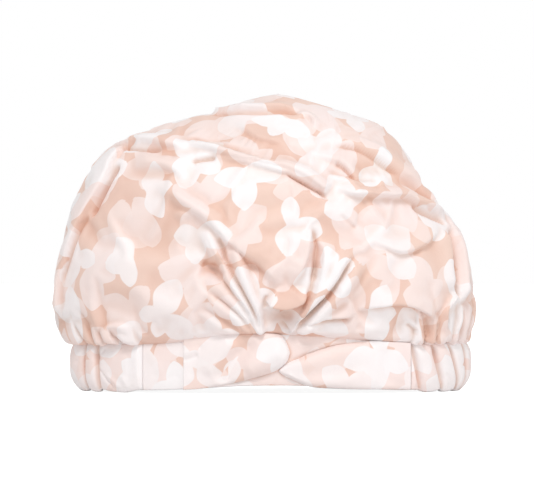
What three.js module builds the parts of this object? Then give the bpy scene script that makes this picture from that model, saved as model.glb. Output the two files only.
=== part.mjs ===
// A turban shower cap: a full, draped crown of coated fabric with a waterproof lining, gathered
// into a band. The front of the band is flat and carries a half twist, and an elastic in a
// gathered casing draws in the sides and the back.
// The cap stands open on its band. Millimetres, +Z up, front towards -Y. The origin lies on the
// surface that it stands on, under the middle of the cap.
import * as THREE from "three";

// Crown
const crownWidth = 275;
const crownDepth = 148;
const crownHeight = 161;
const crestShift = 9; // the crest lies this far to the right of the middle
const crownFabric = 0.8;
const liningFabric = 0.6;

// Band
const bandWidth = 256;
const bandDepth = 120;
const bandHeight = 32;
const bandShift = 3; // the band sits this far to the right under the crown
const topArch = 5; // how far the front of the band rises at its top and bottom edges
const bottomArch = 2.6;
const leftSeamX = -78;
const rightSeamX = 94;
const bandFold = 2.4; // the folded front band, both layers together
const bandEdge = 0.8; // rounding of its long edges
const facingFabric = 0.9;
const facingHem = 2; // the facing ends this far inside the band's edges

// Elastic and its casing
const elasticThickness = 1.2;
const elasticWidth = 25;
const casingFabric = 0.8;
const gatherDepth = 3;
const gatherCount = 22;
const shoulderShare = 0.7; // a gather is this much as deep near the casing's edges

// Binding over the inside of the seam between crown and band
const bindingFabric = 0.8;
const bindingDrop = 6; // how far it reaches down the band and up the lining
const bindingRise = 4;

// Twist
const twistFabric = 0.9;
const twistPuff = 4.4;

// Folds of the crown
const drapeHeight = 9;
const drapeWidth = 10;
const puckerHeight = 2.4;
const puckerSwellShare = 0.6; // this much of a gather's height also stands out between the gathers
const puckerReach = 30; // the gathers over the band fade out at this height
const foldStart = 5; // no fold stands proud within this height of the seam
const foldEndShare = 0.15; // a fold rises and dies away over this share of its line

// Fit
const layerGap = 0.3;

// Facets
const crownColumns = 64;
const crownRows = 18;
const fineCrownRows = 12; // above this row the crown has half as many columns
const casingSteps = gatherCount * 4;
const crowdingShare = 0.6; // 0 spreads the crown's columns evenly, 1 draws them to the front
const bandSteps = 30;
const twistSteps = 22;
const ringSteps = 80;

// The crown's outlines from the band up to the crest, as shares of half the crown's width or
// depth, and of its height.
const leftOutlineShares = [
  [-0.975, 0.04], [-1, 0.15], [-0.985, 0.28], [-0.945, 0.44], [-0.9, 0.57], [-0.81, 0.71],
  [-0.74, 0.78], [-0.625, 0.83], [-0.46, 0.88], [-0.26, 0.925], [-0.1, 0.97],
];
const rightOutlineShares = [
  [0.985, 0.04], [1, 0.15], [0.97, 0.3], [0.93, 0.44], [0.84, 0.54], [0.75, 0.635],
  [0.69, 0.735], [0.625, 0.81], [0.53, 0.88], [0.38, 0.925], [0.21, 0.97],
];
const frontOutlineShares = [
  [-0.91, 0.06], [-0.99, 0.2], [-0.98, 0.38], [-0.92, 0.55], [-0.8, 0.7], [-0.61, 0.83],
  [-0.37, 0.93], [-0.16, 0.985],
];
const backOutlineShares = [
  [0.93, 0.06], [1, 0.2], [0.99, 0.4], [0.93, 0.58], [0.81, 0.73], [0.62, 0.85],
  [0.38, 0.94], [0.17, 0.985],
];

// Folds on the crown's front. Each follows a line of points, as shares of half the crown's width and of
// its height. Its own height is a share of the drape's, and its widths to the left and right of the
// line, seen along it, are shares of the drape's.
const foldShares = [
  // the large drape, from the left shoulder down to the knot
  { line: [[-0.42, 0.58], [-0.3, 0.52], [-0.19, 0.45], [-0.09, 0.38], [0, 0.32], [0.09, 0.23]],
    height: 1, left: 2, right: 0.5 },
  // the drape's right side, up to the peak
  { line: [[0.09, 0.23], [0.15, 0.27], [0.19, 0.34], [0.21, 0.41], [0.22, 0.48]],
    height: 0.89, left: 1.2, right: 0.5 },
  // the pillow under the drape
  { line: [[0, 0.18], [0.09, 0.15], [0.16, 0.16], [0.21, 0.21]],
    height: 0.67, left: 0.6, right: 0.5 },
  // pleats left of the knot
  { line: [[-0.02, 0.06], [-0.05, 0.18], [-0.12, 0.34], [-0.14, 0.41]],
    height: 0.5, left: 0.5, right: 0.5 },
  { line: [[-0.03, 0.06], [-0.09, 0.14], [-0.16, 0.25], [-0.22, 0.32], [-0.28, 0.44]],
    height: 0.78, left: 0.5, right: 0.5 },
  { line: [[-0.04, 0.06], [-0.17, 0.16], [-0.29, 0.26]],
    height: 0.61, left: 0.5, right: 0.5 },
  // pleats right of the knot
  { line: [[0.14, 0.06], [0.28, 0.19], [0.38, 0.33], [0.46, 0.39]],
    height: 0.89, left: 0.6, right: 0.5 },
  { line: [[0.16, 0.06], [0.33, 0.17], [0.4, 0.26], [0.45, 0.35]],
    height: 0.72, left: 0.5, right: 0.6 },
  // the eave over the right part of the band
  { line: [[0.41, 0.12], [0.51, 0.15], [0.62, 0.16], [0.71, 0.15], [0.78, 0.09]],
    height: 0.56, left: 0.8, right: 0.5 },
  // the long fold from the left corner across the crown
  { line: [[-0.74, 0.77], [-0.67, 0.8], [-0.56, 0.8], [-0.42, 0.79], [-0.28, 0.78], [-0.03, 0.74],
      [0.12, 0.71], [0.3, 0.61]],
    height: 0.61, left: 0.6, right: 0.5 },
  // the fold along the crest
  { line: [[-0.28, 0.92], [-0.04, 0.94], [0.11, 0.94], [0.21, 0.91]],
    height: 0.36, left: 0.5, right: 0.8 },
  // the fold down to the right shoulder
  { line: [[0.24, 0.85], [0.4, 0.8], [0.56, 0.74], [0.64, 0.69], [0.75, 0.61], [0.86, 0.52]],
    height: 0.67, left: 1, right: 0.5 },
  // the short fold below it
  { line: [[0.2, 0.77], [0.29, 0.74], [0.43, 0.67]],
    height: 0.39, left: 0.6, right: 0.5 },
  // the shelf on the right
  { line: [[0.29, 0.65], [0.4, 0.6], [0.55, 0.59], [0.66, 0.58], [0.76, 0.55], [0.87, 0.5]],
    height: 0.61, left: 0.7, right: 0.5 },
  // the hook under the shelf
  { line: [[0.48, 0.42], [0.64, 0.37], [0.74, 0.4], [0.84, 0.46]],
    height: 0.42, left: 0.9, right: 0.5 },
  // the roll down the left side
  { line: [[-0.65, 0.79], [-0.75, 0.65], [-0.85, 0.48], [-0.94, 0.27], [-0.96, 0.17], [-0.96, 0.08]],
    height: 0.5, left: 0.5, right: 0.9 },
  // the roll down the right side
  { line: [[0.86, 0.51], [0.91, 0.44], [0.93, 0.35], [0.94, 0.17]],
    height: 0.5, left: 0.8, right: 0.5 },
  // soft swells of the left and right cheeks
  { line: [[-0.85, 0.14], [-0.73, 0.28], [-0.64, 0.36]],
    height: 0.29, left: 2.6, right: 2.6 },
  { line: [[0.64, 0.2], [0.74, 0.27], [0.81, 0.32]],
    height: 0.31, left: 2.2, right: 2.2 },
  // soft swells beside the knot
  { line: [[-0.49, 0.12], [-0.28, 0.14]],
    height: 0.29, left: 1, right: 0.9 },
  // the cloth above the drape
  { line: [[-0.23, 0.6], [0.17, 0.6]],
    height: 0.33, left: 1.2, right: 1.2 },
  { line: [[0.48, 0.23], [0.56, 0.29]],
    height: 0.24, left: 1.6, right: 1.6 },
  // the face of the drape
  { line: [[-0.07, 0.43], [0.1, 0.47], [0.17, 0.37]],
    height: 1, left: 1.2, right: 1.2 },
];

// The twist's fold line, as shares of the front band's length and of its height. The left wrap
// lies above it and the right wrap below it.
const twistFoldShares = [
  [0.2, 0.02], [0.3, 0.07], [0.39, 0.15], [0.47, 0.25], [0.54, 0.47], [0.61, 0.66],
  [0.7, 0.81], [0.78, 0.89], [0.87, 0.96],
];
const leftWrapStartShare = 0.155;
const leftWrapEndShare = 0.55;
const leftWrapTipShares = [0.6, 0.88];
const rightWrapStartShare = 0.5;
const rightWrapEndShare = 0.995;
const rightWrapFootShare = 0.6; // from here on the right wrap reaches down to the band's lower edge

// Sizes that follow from those above
const halfWidth = crownWidth / 2;
const halfDepth = crownDepth / 2;
const frontLength = rightSeamX - leftSeamX;
const frontMiddleX = (leftSeamX + rightSeamX) / 2;
const elasticRoom = elasticThickness + 2 * layerGap;
const bandThickness = Math.max(bandFold + layerGap + facingFabric, elasticRoom + 2 * casingFabric);
const crownLift = layerGap; // the crown stands this far above the band's top edge
const frontAngle = -Math.PI / 2;
const fullTurn = 2 * Math.PI;

function smoothStep(from, to, value) {
  const share = THREE.MathUtils.clamp((value - from) / (to - from), 0, 1);
  return share * share * (3 - 2 * share);
}

// Collects rows of points and the faces between them, and gives one closed mesh that faces out.
class Skin {
  constructor() {
    this.points = [];
    this.faces = [];
  }

  row(points) {
    return points.map((point) => this.points.push(point) - 1);
  }

  // Quads between two closed rows of the same length, seen from outside or from inside.
  bridge(lower, upper, inside = false) {
    lower.forEach((corner, i) => {
      const next = (i + 1) % lower.length;
      const halves = [[corner, lower[next], upper[next]], [corner, upper[next], upper[i]]];
      this.faces.push(...halves.map(([a, b, c]) => (inside ? [a, c, b] : [a, b, c])));
    });
  }

  // Triangles between a closed row and one with half as many points.
  bridgeHalf(fine, coarse, inside = false) {
    coarse.forEach((point, i) => {
      const next = coarse[(i + 1) % coarse.length];
      const [start, middle] = [fine[2 * i], fine[2 * i + 1]];
      const end = fine[(2 * i + 2) % fine.length];
      const thirds = [[start, middle, point], [middle, next, point], [middle, end, next]];
      this.faces.push(...thirds.map(([a, b, c]) => (inside ? [a, c, b] : [a, b, c])));
    });
  }

  // A fan from a closed row to one point.
  fan(ring, point, inside = false) {
    ring.forEach((corner, i) => {
      const next = ring[(i + 1) % ring.length];
      this.faces.push(inside ? [corner, point, next] : [corner, next, point]);
    });
  }

  // A flat lid over a closed row, whose outline in its own plane is given.
  lid(ring, outline, turned) {
    for (const [a, b, c] of THREE.ShapeUtils.triangulateShape(outline, [])) {
      this.faces.push(turned ? [ring[a], ring[c], ring[b]] : [ring[a], ring[b], ring[c]]);
    }
  }

  geometry() {
    const volume = this.faces.reduce((sum, [a, b, c]) => {
      const side = this.points[b].clone().cross(this.points[c]);
      return sum + this.points[a].dot(side);
    }, 0);
    const order = volume > 0 ? this.faces : this.faces.map(([a, b, c]) => [a, c, b]);
    const geometry = new THREE.BufferGeometry().setFromPoints(this.points);
    geometry.setIndex(order.flat());
    geometry.computeVertexNormals();
    return geometry;
  }
}

// The band's outline in plan is an ellipse. Points on it are set out by the ellipse's angle.
function ringPoint(angle, outward, z) {
  const [a, b] = [bandWidth / 2, bandDepth / 2];
  const normal = new THREE.Vector2(Math.cos(angle) / a, Math.sin(angle) / b).normalize();
  const x = bandShift + a * Math.cos(angle) + outward * normal.x;
  const y = b * Math.sin(angle) + outward * normal.y;
  return new THREE.Vector3(x, y, z);
}

function ringX(angle) {
  return bandShift + (bandWidth / 2) * Math.cos(angle);
}

// The angle on the front of the ring at which it has a given x.
function frontAngleAt(x) {
  return -Math.acos((x - bandShift) / (bandWidth / 2));
}

const leftSeamAngle = frontAngleAt(leftSeamX);
const rightSeamAngle = frontAngleAt(rightSeamX);

// The front of the band arches up between its two seams.
function archShare(angle) {
  if (Math.sin(angle) > 0) return 0;
  const share = (ringX(angle) - frontMiddleX) / (frontLength / 2);
  return Math.max(0, 1 - share * share) ** 2;
}

function bandBottom(angle) {
  return bottomArch * archShare(angle);
}

function bandTop(angle) {
  return bandHeight + topArch * archShare(angle);
}

// A solid strip along the ring. The section at an angle is a closed outline of
// [outward, height] pairs, with the same number of points at each angle.
function ringStrip(from, to, steps, section) {
  const skin = new Skin();
  const rows = [];
  const outlines = [];
  for (let i = 0; i <= steps; i++) {
    const angle = from + ((to - from) * i) / steps;
    const outline = section(angle, i / steps);
    outlines.push(outline.map(([outward, z]) => new THREE.Vector2(outward, z)));
    rows.push(skin.row(outline.map(([outward, z]) => ringPoint(angle, outward, z))));
  }
  rows.slice(1).forEach((row, i) => skin.bridge(rows[i], row));
  skin.lid(rows[0], outlines[0], true);
  skin.lid(rows[steps], outlines[steps], false);
  return skin.geometry();
}

// A strip that runs the whole way round.
function ringLoop(steps, section) {
  const skin = new Skin();
  const rows = [];
  for (let i = 0; i < steps; i++) {
    const angle = (fullTurn * i) / steps;
    rows.push(skin.row(section(angle).map(([outward, z]) => ringPoint(angle, outward, z))));
  }
  rows.forEach((row, i) => skin.bridge(row, rows[(i + 1) % steps]));
  return skin.geometry();
}

// A tube along the ring, open at both ends, between an outer and an inner outline.
function ringTube(from, to, steps, outerSection, innerSection) {
  const skin = new Skin();
  const [outer, inner] = [[], []];
  for (let i = 0; i <= steps; i++) {
    const angle = from + ((to - from) * i) / steps;
    const place = ([outward, z]) => ringPoint(angle, outward, z);
    outer.push(skin.row(outerSection(angle, i).map(place)));
    inner.push(skin.row(innerSection(angle, i).map(place)));
  }
  for (let i = 0; i < steps; i++) {
    skin.bridge(outer[i], outer[i + 1]);
    skin.bridge(inner[i], inner[i + 1], true);
  }
  skin.bridge(inner[0], outer[0]);
  skin.bridge(outer[steps], inner[steps]);
  return skin.geometry();
}

// A rectangle with its corners cut, from the innermost to the outermost face.
function softRectangle(inside, outside, bottom, top, edge) {
  return [
    [outside, bottom + edge], [outside, top - edge], [outside - edge, top], [inside + edge, top],
    [inside, top - edge], [inside, bottom + edge], [inside + edge, bottom], [outside - edge, bottom],
  ];
}

function plainRectangle(inside, outside, bottom, top) {
  return [[outside, bottom], [outside, top], [inside, top], [inside, bottom]];
}

// A smooth outline of the crown from the band to the crest, as (distance, height).
function crownOutline(seamDistance, shares, half, crestDistance) {
  return new THREE.SplineCurve([
    new THREE.Vector2(seamDistance, 0),
    ...shares.map(([across, up]) => new THREE.Vector2(across * half, up * crownHeight)),
    new THREE.Vector2(crestDistance, crownHeight),
  ]);
}

const leftOutline = crownOutline(bandShift - bandWidth / 2, leftOutlineShares, halfWidth, crestShift);
const rightOutline = crownOutline(bandShift + bandWidth / 2, rightOutlineShares, halfWidth, crestShift);
const frontOutline = crownOutline(-bandDepth / 2, frontOutlineShares, halfDepth, 0);
const backOutline = crownOutline(bandDepth / 2, backOutlineShares, halfDepth, 0);

// The crown without its folds: oval sections between the four outlines. Rise runs from 0 at the
// band to 1 at the crest.
function crownBase(angle, rise) {
  const [c, s] = [Math.cos(angle), Math.sin(angle)];
  const side = (c >= 0 ? rightOutline : leftOutline).getPointAt(rise);
  const face = (s >= 0 ? backOutline : frontOutline).getPointAt(rise);
  const middle = bandShift + (crestShift - bandShift) * rise * rise;
  const seamZ = bandHeight + crownLift + topArch * archShare(angle) * (1 - rise) ** 3;
  return new THREE.Vector3(
    middle + Math.abs(c) * (side.x - middle),
    Math.abs(s) * face.x,
    seamZ + THREE.MathUtils.lerp(face.y, side.y, c * c),
  );
}

// Roughly square to the crown's wall, and level where it meets the band.
function crownNormal(point) {
  const seamZ = bandHeight + crownLift + topArch;
  const up = Math.max(0, point.z - seamZ - puckerReach) / crownHeight ** 2;
  return new THREE.Vector3(
    (point.x - crestShift) / halfWidth ** 2,
    point.y / halfDepth ** 2,
    up,
  ).normalize();
}

// The distance to a line of points in the front plane, which side of it a place lies on, and how far
// along it.
function nearestOnLine(x, z, line) {
  let nearest = { distance: Infinity };
  for (let i = 1; i < line.length; i++) {
    const [ax, az] = line[i - 1];
    const [bx, bz] = line[i];
    const [dx, dz] = [bx - ax, bz - az];
    const along = ((x - ax) * dx + (z - az) * dz) / (dx * dx + dz * dz);
    const share = THREE.MathUtils.clamp(along, 0, 1);
    const [awayX, awayZ] = [x - ax - share * dx, z - az - share * dz];
    const distance = Math.hypot(awayX, awayZ);
    if (distance < nearest.distance) {
      nearest = { distance, onLeft: dx * awayZ > dz * awayX, share: (i - 1 + share) / (line.length - 1) };
    }
  }
  return nearest;
}

const foldLines = foldShares.map(({ line, height, left, right }) => ({
  line: line.map(([x, z]) => [x * halfWidth, bandHeight + z * crownHeight]),
  height: height * drapeHeight,
  left: left * drapeWidth,
  right: right * drapeWidth,
}));

// Where folds meet, the fourth powers of their heights add up.
function frontFolds(x, z) {
  const sum = foldLines.reduce((total, { line, height, left, right }) => {
    const { distance, onLeft, share } = nearestOnLine(x, z, line);
    const ends = smoothStep(0, foldEndShare, share) * smoothStep(0, foldEndShare, 1 - share);
    const ridge = height * ends * Math.exp(-((distance / (onLeft ? left : right)) ** 2));
    return total + ridge ** 4;
  }, 0);
  return sum ** 0.25;
}

// How far the crown's fabric stands out of its base: the folds in front, and the gathers that the
// elastic makes over the casing.
function foldHeight(angle, point) {
  const above = point.z - bandTop(angle) - crownLift;
  const starts = smoothStep(0, foldStart, above);
  const inFront = smoothStep(0.15, 0.5, -Math.sin(angle));
  const gathered = 1 - archShare(angle) ** 0.5;
  const wave = 0.5 + 0.5 * Math.cos((gatherCount / 2) * (angle - frontAngle));
  const pucker = puckerHeight * THREE.MathUtils.lerp(wave, 1, puckerSwellShare);
  const puckers = pucker * gathered * (1 - smoothStep(foldStart, puckerReach, above));
  return starts * (inFront * frontFolds(point.x, point.z) + puckers);
}

// Columns lie closest together in front, and rows close to the band, where the pleats are.
function crownAngle(column) {
  const share = column / crownColumns;
  return frontAngle + fullTurn * share - crowdingShare * Math.sin(fullTurn * share);
}

function crownRise(row) {
  return (row / crownRows) ** 1.2;
}

function crownRow(row, every, inward, folded) {
  const points = [];
  for (let column = 0; column < crownColumns; column += every) {
    const angle = crownAngle(column);
    const base = crownBase(angle, crownRise(row));
    const outward = (folded ? foldHeight(angle, base) : 0) - inward;
    points.push(base.addScaledVector(crownNormal(base), outward));
  }
  return points;
}

function crest(inward) {
  return crownBase(0, 1).add(new THREE.Vector3(0, 0, -inward));
}

// The smooth side of one of the crown's fabrics: half the columns, every other row.
function plainDome(skin, inward, inside) {
  const rows = [];
  for (let row = 0; row < crownRows; row += 2) {
    rows.push(skin.row(crownRow(row, 2, inward, false)));
  }
  rows.slice(1).forEach((row, i) => skin.bridge(rows[i], row, inside));
  skin.fan(rows.at(-1), skin.row([crest(inward)])[0], inside);
  return rows[0];
}

// The crown's outside, with its folds.
function foldedDome(skin) {
  const rows = [];
  for (let row = 0; row < crownRows; row++) {
    rows.push(skin.row(crownRow(row, row < fineCrownRows ? 1 : 2, 0, true)));
  }
  rows.slice(1).forEach((row, i) => {
    if (row.length < rows[i].length) skin.bridgeHalf(rows[i], row);
    else skin.bridge(rows[i], row);
  });
  skin.fan(rows.at(-1), skin.row([crest(0)])[0]);
  return rows[0];
}

// Crown shell: the outer fabric, with its folds outside and a plain inside.
function crownShell() {
  const skin = new Skin();
  const outerEdge = foldedDome(skin);
  skin.bridgeHalf(outerEdge, plainDome(skin, crownFabric, true), true);
  return skin.geometry();
}

// Crown lining: a plain waterproof dome just inside the shell.
function crownLining() {
  const skin = new Skin();
  const outerEdge = plainDome(skin, crownFabric + layerGap, false);
  const innerEdge = plainDome(skin, crownFabric + layerGap + liningFabric, true);
  skin.bridge(innerEdge, outerEdge);
  return skin.geometry();
}

// Front band: one folded strip between the two side seams.
function frontBand() {
  return ringStrip(leftSeamAngle, rightSeamAngle, bandSteps, (angle) =>
    softRectangle(-bandFold, 0, bandBottom(angle), bandTop(angle), bandEdge));
}

// Band facing: the smooth strip on the inside of the front band.
function bandFacing() {
  return ringStrip(leftSeamAngle, rightSeamAngle, bandSteps, (angle) =>
    plainRectangle(
      -bandThickness, -bandFold - layerGap,
      bandBottom(angle) + facingHem, bandTop(angle) - facingHem,
    ));
}

// The casing and the elastic start one gap past the front band's ends.
const seamGapAngle = layerGap / (bandDepth / 2);
const casingFrom = rightSeamAngle + seamGapAngle;
const casingTo = leftSeamAngle + fullTurn - seamGapAngle;

// Gathers of the casing: its outer wall waves in and out, and lies flat at both ends.
function gatherHeight(step) {
  const share = step / casingSteps;
  const ends = smoothStep(0, 0.03, share) * (1 - smoothStep(0.97, 1, share));
  return gatherDepth * ends * (0.5 - 0.5 * Math.cos(fullTurn * gatherCount * share));
}

function casingOuter(angle, step) {
  const out = gatherHeight(step);
  const edge = bandThickness / 3;
  return [
    [out, bandHeight / 2], [out * shoulderShare, bandHeight - edge], [-edge, bandHeight],
    [-bandThickness, bandHeight], [-bandThickness, 0], [-edge, 0], [out * shoulderShare, edge],
  ];
}

// The channel inside the casing, one fabric thick from the casing's faces all round.
function casingInner(angle, step) {
  const out = gatherHeight(step) - casingFabric;
  const [back, front] = [casingFabric - bandThickness, -casingFabric];
  const half = elasticWidth / 2 + layerGap;
  const [low, high] = [bandHeight / 2 - half, bandHeight / 2 + half];
  const middle = (back + front) / 2;
  return [
    [out, bandHeight / 2], [front, high], [middle, high], [back, high],
    [back, low], [middle, low], [front, low],
  ];
}

// Back casing: the gathered tube round the sides and the back.
function backCasing() {
  return ringTube(casingFrom, casingTo, casingSteps, casingOuter, casingInner);
}

// Elastic: a flat band that runs through the casing from side seam to side seam.
function elasticBand() {
  const inside = casingFabric + layerGap - bandThickness;
  const [low, high] = [(bandHeight - elasticWidth) / 2, (bandHeight + elasticWidth) / 2];
  return ringStrip(casingFrom, casingTo, ringSteps, () =>
    plainRectangle(inside, inside + elasticThickness, low, high));
}

// Seam binding: a tape over the inside of the seam, all the way round.
function seamBinding() {
  const outside = -bandThickness - layerGap;
  return ringLoop(ringSteps, (angle) =>
    plainRectangle(
      outside - bindingFabric, outside,
      bandTop(angle) - bindingDrop, bandTop(angle) + bindingRise,
    ));
}

const twistFold = new THREE.SplineCurve(
  twistFoldShares.map(([along, up]) => new THREE.Vector2(along, up)),
);

// Height share of the twist's fold line at a share of the front band's length.
function foldLineShare(along) {
  const points = twistFold.getPoints(120);
  if (along <= points[0].x) return points[0].y;
  const next = points.findIndex((point) => point.x > along);
  if (next < 0) return points.at(-1).y;
  const [a, b] = [points[next - 1], points[next]];
  return THREE.MathUtils.lerp(a.y, b.y, (along - a.x) / (b.x - a.x));
}

// One half of the twist: a puffed strip against the front band between two height shares.
function twistWrap(fromShare, toShare, edges, puff) {
  const from = frontAngleAt(leftSeamX + fromShare * frontLength);
  const to = frontAngleAt(leftSeamX + toShare * frontLength);
  return ringStrip(from, to, twistSteps, (angle) => {
    const along = (ringX(angle) - leftSeamX) / frontLength;
    const height = bandTop(angle) - bandBottom(angle);
    const [lowShare, highShare] = edges(along);
    const low = bandBottom(angle) + lowShare * height + layerGap;
    const high = bandBottom(angle) + highShare * height - layerGap;
    const stand = layerGap + twistFabric + twistPuff * puff(along);
    const level = (share) => THREE.MathUtils.lerp(low, high, share);
    const rounded = layerGap + twistFabric + (stand - layerGap - twistFabric) * 0.7;
    return [
      [layerGap + twistFabric / 2, low], [rounded, level(0.18)], [stand, level(0.5)],
      [rounded, level(0.82)], [layerGap + twistFabric / 2, high], [layerGap, level(0.85)],
      [layerGap, level(0.15)],
    ];
  });
}

// Left wrap: full height where it is sewn on, then above the fold line up to the crossing.
function leftTwistWrap() {
  const edges = (along) => {
    const closing = smoothStep(leftWrapEndShare - 0.07, leftWrapEndShare, along);
    return [
      Math.max(foldLineShare(along), THREE.MathUtils.lerp(0, leftWrapTipShares[0], closing)),
      THREE.MathUtils.lerp(1, leftWrapTipShares[1], closing),
    ];
  };
  const puff = (along) =>
    smoothStep(leftWrapStartShare, 0.42, along) * (1 - 0.6 * smoothStep(0.5, 0.55, along));
  return twistWrap(leftWrapStartShare, leftWrapEndShare, edges, puff);
}

// Right wrap: from the crossing, below the fold line, to full height at the right seam.
function rightTwistWrap() {
  const edges = (along) => {
    const opening = smoothStep(rightWrapStartShare, rightWrapFootShare, along);
    const top = foldLineShare(along);
    return [THREE.MathUtils.lerp(top * 0.55, 0, opening), top];
  };
  const puff = (along) => smoothStep(0.47, 0.6, along) * (1 - smoothStep(0.62, 0.97, along));
  return twistWrap(rightWrapStartShare, rightWrapEndShare, edges, puff);
}

const peachFabric = new THREE.Color(0.9, 0.74, 0.66);
const paleFabric = new THREE.Color(0.95, 0.87, 0.84);

function fabricMaterial(color, roughness) {
  return new THREE.MeshStandardMaterial({ color, roughness, metalness: 0 });
}

const cap = new THREE.Group();
function addPiece(name, geometry, material) {
  const mesh = new THREE.Mesh(geometry, material);
  mesh.name = name;
  cap.add(mesh);
}

addPiece("crown_shell", crownShell(), fabricMaterial(peachFabric, 0.55));
addPiece("crown_lining", crownLining(), fabricMaterial(new THREE.Color(0.94, 0.93, 0.92), 0.35));
addPiece("front_band", frontBand(), fabricMaterial(peachFabric, 0.55));
addPiece("band_facing", bandFacing(), fabricMaterial(paleFabric, 0.7));
addPiece("left_twist_wrap", leftTwistWrap(), fabricMaterial(paleFabric, 0.55));
addPiece("right_twist_wrap", rightTwistWrap(), fabricMaterial(paleFabric, 0.55));
addPiece("back_casing", backCasing(), fabricMaterial(peachFabric, 0.55));
addPiece("elastic_band", elasticBand(), fabricMaterial(new THREE.Color(0.93, 0.92, 0.9), 0.8));
addPiece("seam_binding", seamBinding(), fabricMaterial(paleFabric, 0.6));

// The cap is set with the middle of its plan over the origin and its lower edge at height zero.
const box = new THREE.Box3().setFromObject(cap);
const middle = box.getCenter(new THREE.Vector3());
cap.position.set(-middle.x, -middle.y, -box.min.z);

export default cap;
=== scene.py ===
import math

import bpy
import numpy as np
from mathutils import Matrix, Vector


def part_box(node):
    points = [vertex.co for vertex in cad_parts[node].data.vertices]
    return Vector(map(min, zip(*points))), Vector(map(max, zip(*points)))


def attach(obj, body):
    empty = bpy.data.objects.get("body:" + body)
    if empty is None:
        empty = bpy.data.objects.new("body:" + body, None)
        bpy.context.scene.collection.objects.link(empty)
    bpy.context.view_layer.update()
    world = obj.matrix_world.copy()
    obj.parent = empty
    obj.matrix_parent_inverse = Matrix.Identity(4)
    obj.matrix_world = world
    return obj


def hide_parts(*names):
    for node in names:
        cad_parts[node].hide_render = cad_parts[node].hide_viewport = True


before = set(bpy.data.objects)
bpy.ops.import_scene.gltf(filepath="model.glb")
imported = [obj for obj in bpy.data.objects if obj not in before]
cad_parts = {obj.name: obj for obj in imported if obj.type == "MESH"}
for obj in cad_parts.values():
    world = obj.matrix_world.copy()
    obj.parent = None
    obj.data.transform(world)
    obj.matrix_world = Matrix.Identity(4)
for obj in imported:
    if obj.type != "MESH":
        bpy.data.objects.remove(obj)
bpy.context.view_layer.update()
print("frame loaded")

# Shapes are worked out in millimetres and go into the meshes in metres.
toMetres = 0.001
pixelSize = 0.65  # one pixel of the photograph, in mm, at the cap
photoMiddle = 264.5  # pixel column over x = 0 of the cap's own drawing
photoFloor = 391.0  # pixel row of the band's lower edge
photoWidth, photoHeight = 534, 496
bandShift = 3.0  # mm by which the band's middle lies to the right in the drawing

ringBox = [np.array(corner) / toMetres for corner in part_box("seam_binding")]
ringMiddle = (ringBox[0] + ringBox[1]) / 2  # the band is an oval about this point
drawingShift = ringMiddle[0] - bandShift

ring = {
    "halfWidth": 128.0, "halfDepth": 60.0, "height": 32.0,
    "topArch": 6.3, "bottomRise": 2.0, "bottomArch": 3.4,  # the front of the band rises in the middle
    "leftSeam": -78.0, "rightSeam": 94.0,  # where the front band meets the elastic casing
}


def smoothStep(start, end, value):
    t = np.clip((value - start) / (end - start), 0, 1)
    return t * t * (3 - 2 * t)


def fade(share, ends):
    return smoothStep(0, max(ends[0], 1e-3), share) * (1 - smoothStep(1 - max(ends[1], 1e-3), 1, share))


# Pixels of the photograph to x and z of the cap in mm.
def fromPhoto(line):
    line = np.asarray(line, float)
    x = (line[..., 0] - photoMiddle) * pixelSize + drawingShift
    return x, (photoFloor - line[..., 1]) * pixelSize


# Quads of a grid of points kept row by row; a closed direction joins its last line to its first.
def gridFaces(rows, columns, closedRows=False, closedColumns=False):
    i = np.arange(rows if closedRows else rows - 1)
    j = np.arange(columns if closedColumns else columns - 1)
    i, j = np.meshgrid(i, j, indexing="ij")
    nextI, nextJ = (i + 1) % rows, (j + 1) % columns
    corners = [i * columns + j, i * columns + nextJ, nextI * columns + nextJ, nextI * columns + j]
    return np.stack(corners, -1).reshape(-1, 4).tolist()


# Points in mm go into a mesh whose object sits at the origin. A closed shape's volume is the sum of its
# faces' signed pyramids about the origin; where that is negative, all faces are turned over.
def addMesh(name, points, faces, closed=False, smooth=True):
    points = np.asarray(points, float).reshape(-1, 3)
    if closed:
        volume = 0.0
        for size in {len(face) for face in faces}:
            corners = points[np.array([face for face in faces if len(face) == size])]
            for k in range(1, size - 1):
                volume += np.einsum("nd,nd->", corners[:, 0], np.cross(corners[:, k], corners[:, k + 1]))
        if volume < 0:
            faces = [face[::-1] for face in faces]
    mesh = bpy.data.meshes.new(name)
    mesh.from_pydata((points * toMetres).tolist(), [], faces)
    mesh.update()
    mesh.polygons.foreach_set("use_smooth", np.full(len(mesh.polygons), smooth))
    piece = bpy.data.objects.new(name, mesh)
    bpy.context.scene.collection.objects.link(piece)
    return piece


# Faces of a closed strip: every row is one section round it, and flat lids close its two ends.
def stripFaces(rows, columns, endless=False):
    faces = gridFaces(rows, columns, closedRows=endless, closedColumns=True)
    if not endless:
        last = (rows - 1) * columns
        faces += [list(range(columns))[::-1], [last + k for k in range(columns)]]
    return faces


def addStrip(name, sections, endless=False):
    return addMesh(name, sections, stripFaces(*sections.shape[:2], endless), closed=True)


# A number or a vector of three for each point of the mesh.
def addAttribute(piece, name, values):
    kind = "FLOAT_VECTOR" if values.ndim == 2 else "FLOAT"
    layer = piece.data.attributes.new(name, kind, "POINT")
    layer.data.foreach_set("vector" if values.ndim == 2 else "value", values.astype(np.float32).ravel())


# Unit normals of a grid of points: the cross product of its central differences both ways.
def gridNormals(points):
    normal = np.cross(np.gradient(points, axis=1), np.gradient(points, axis=0))
    return normal / np.maximum(np.linalg.norm(normal, axis=-1, keepdims=True), 1e-9)


def lengthAlong(points):
    return np.concatenate([[0], np.cumsum(np.linalg.norm(np.diff(points, axis=0), axis=1))])


def unit(vectors, axis=-1):
    return vectors / np.linalg.norm(vectors, axis=axis, keepdims=True)


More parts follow.
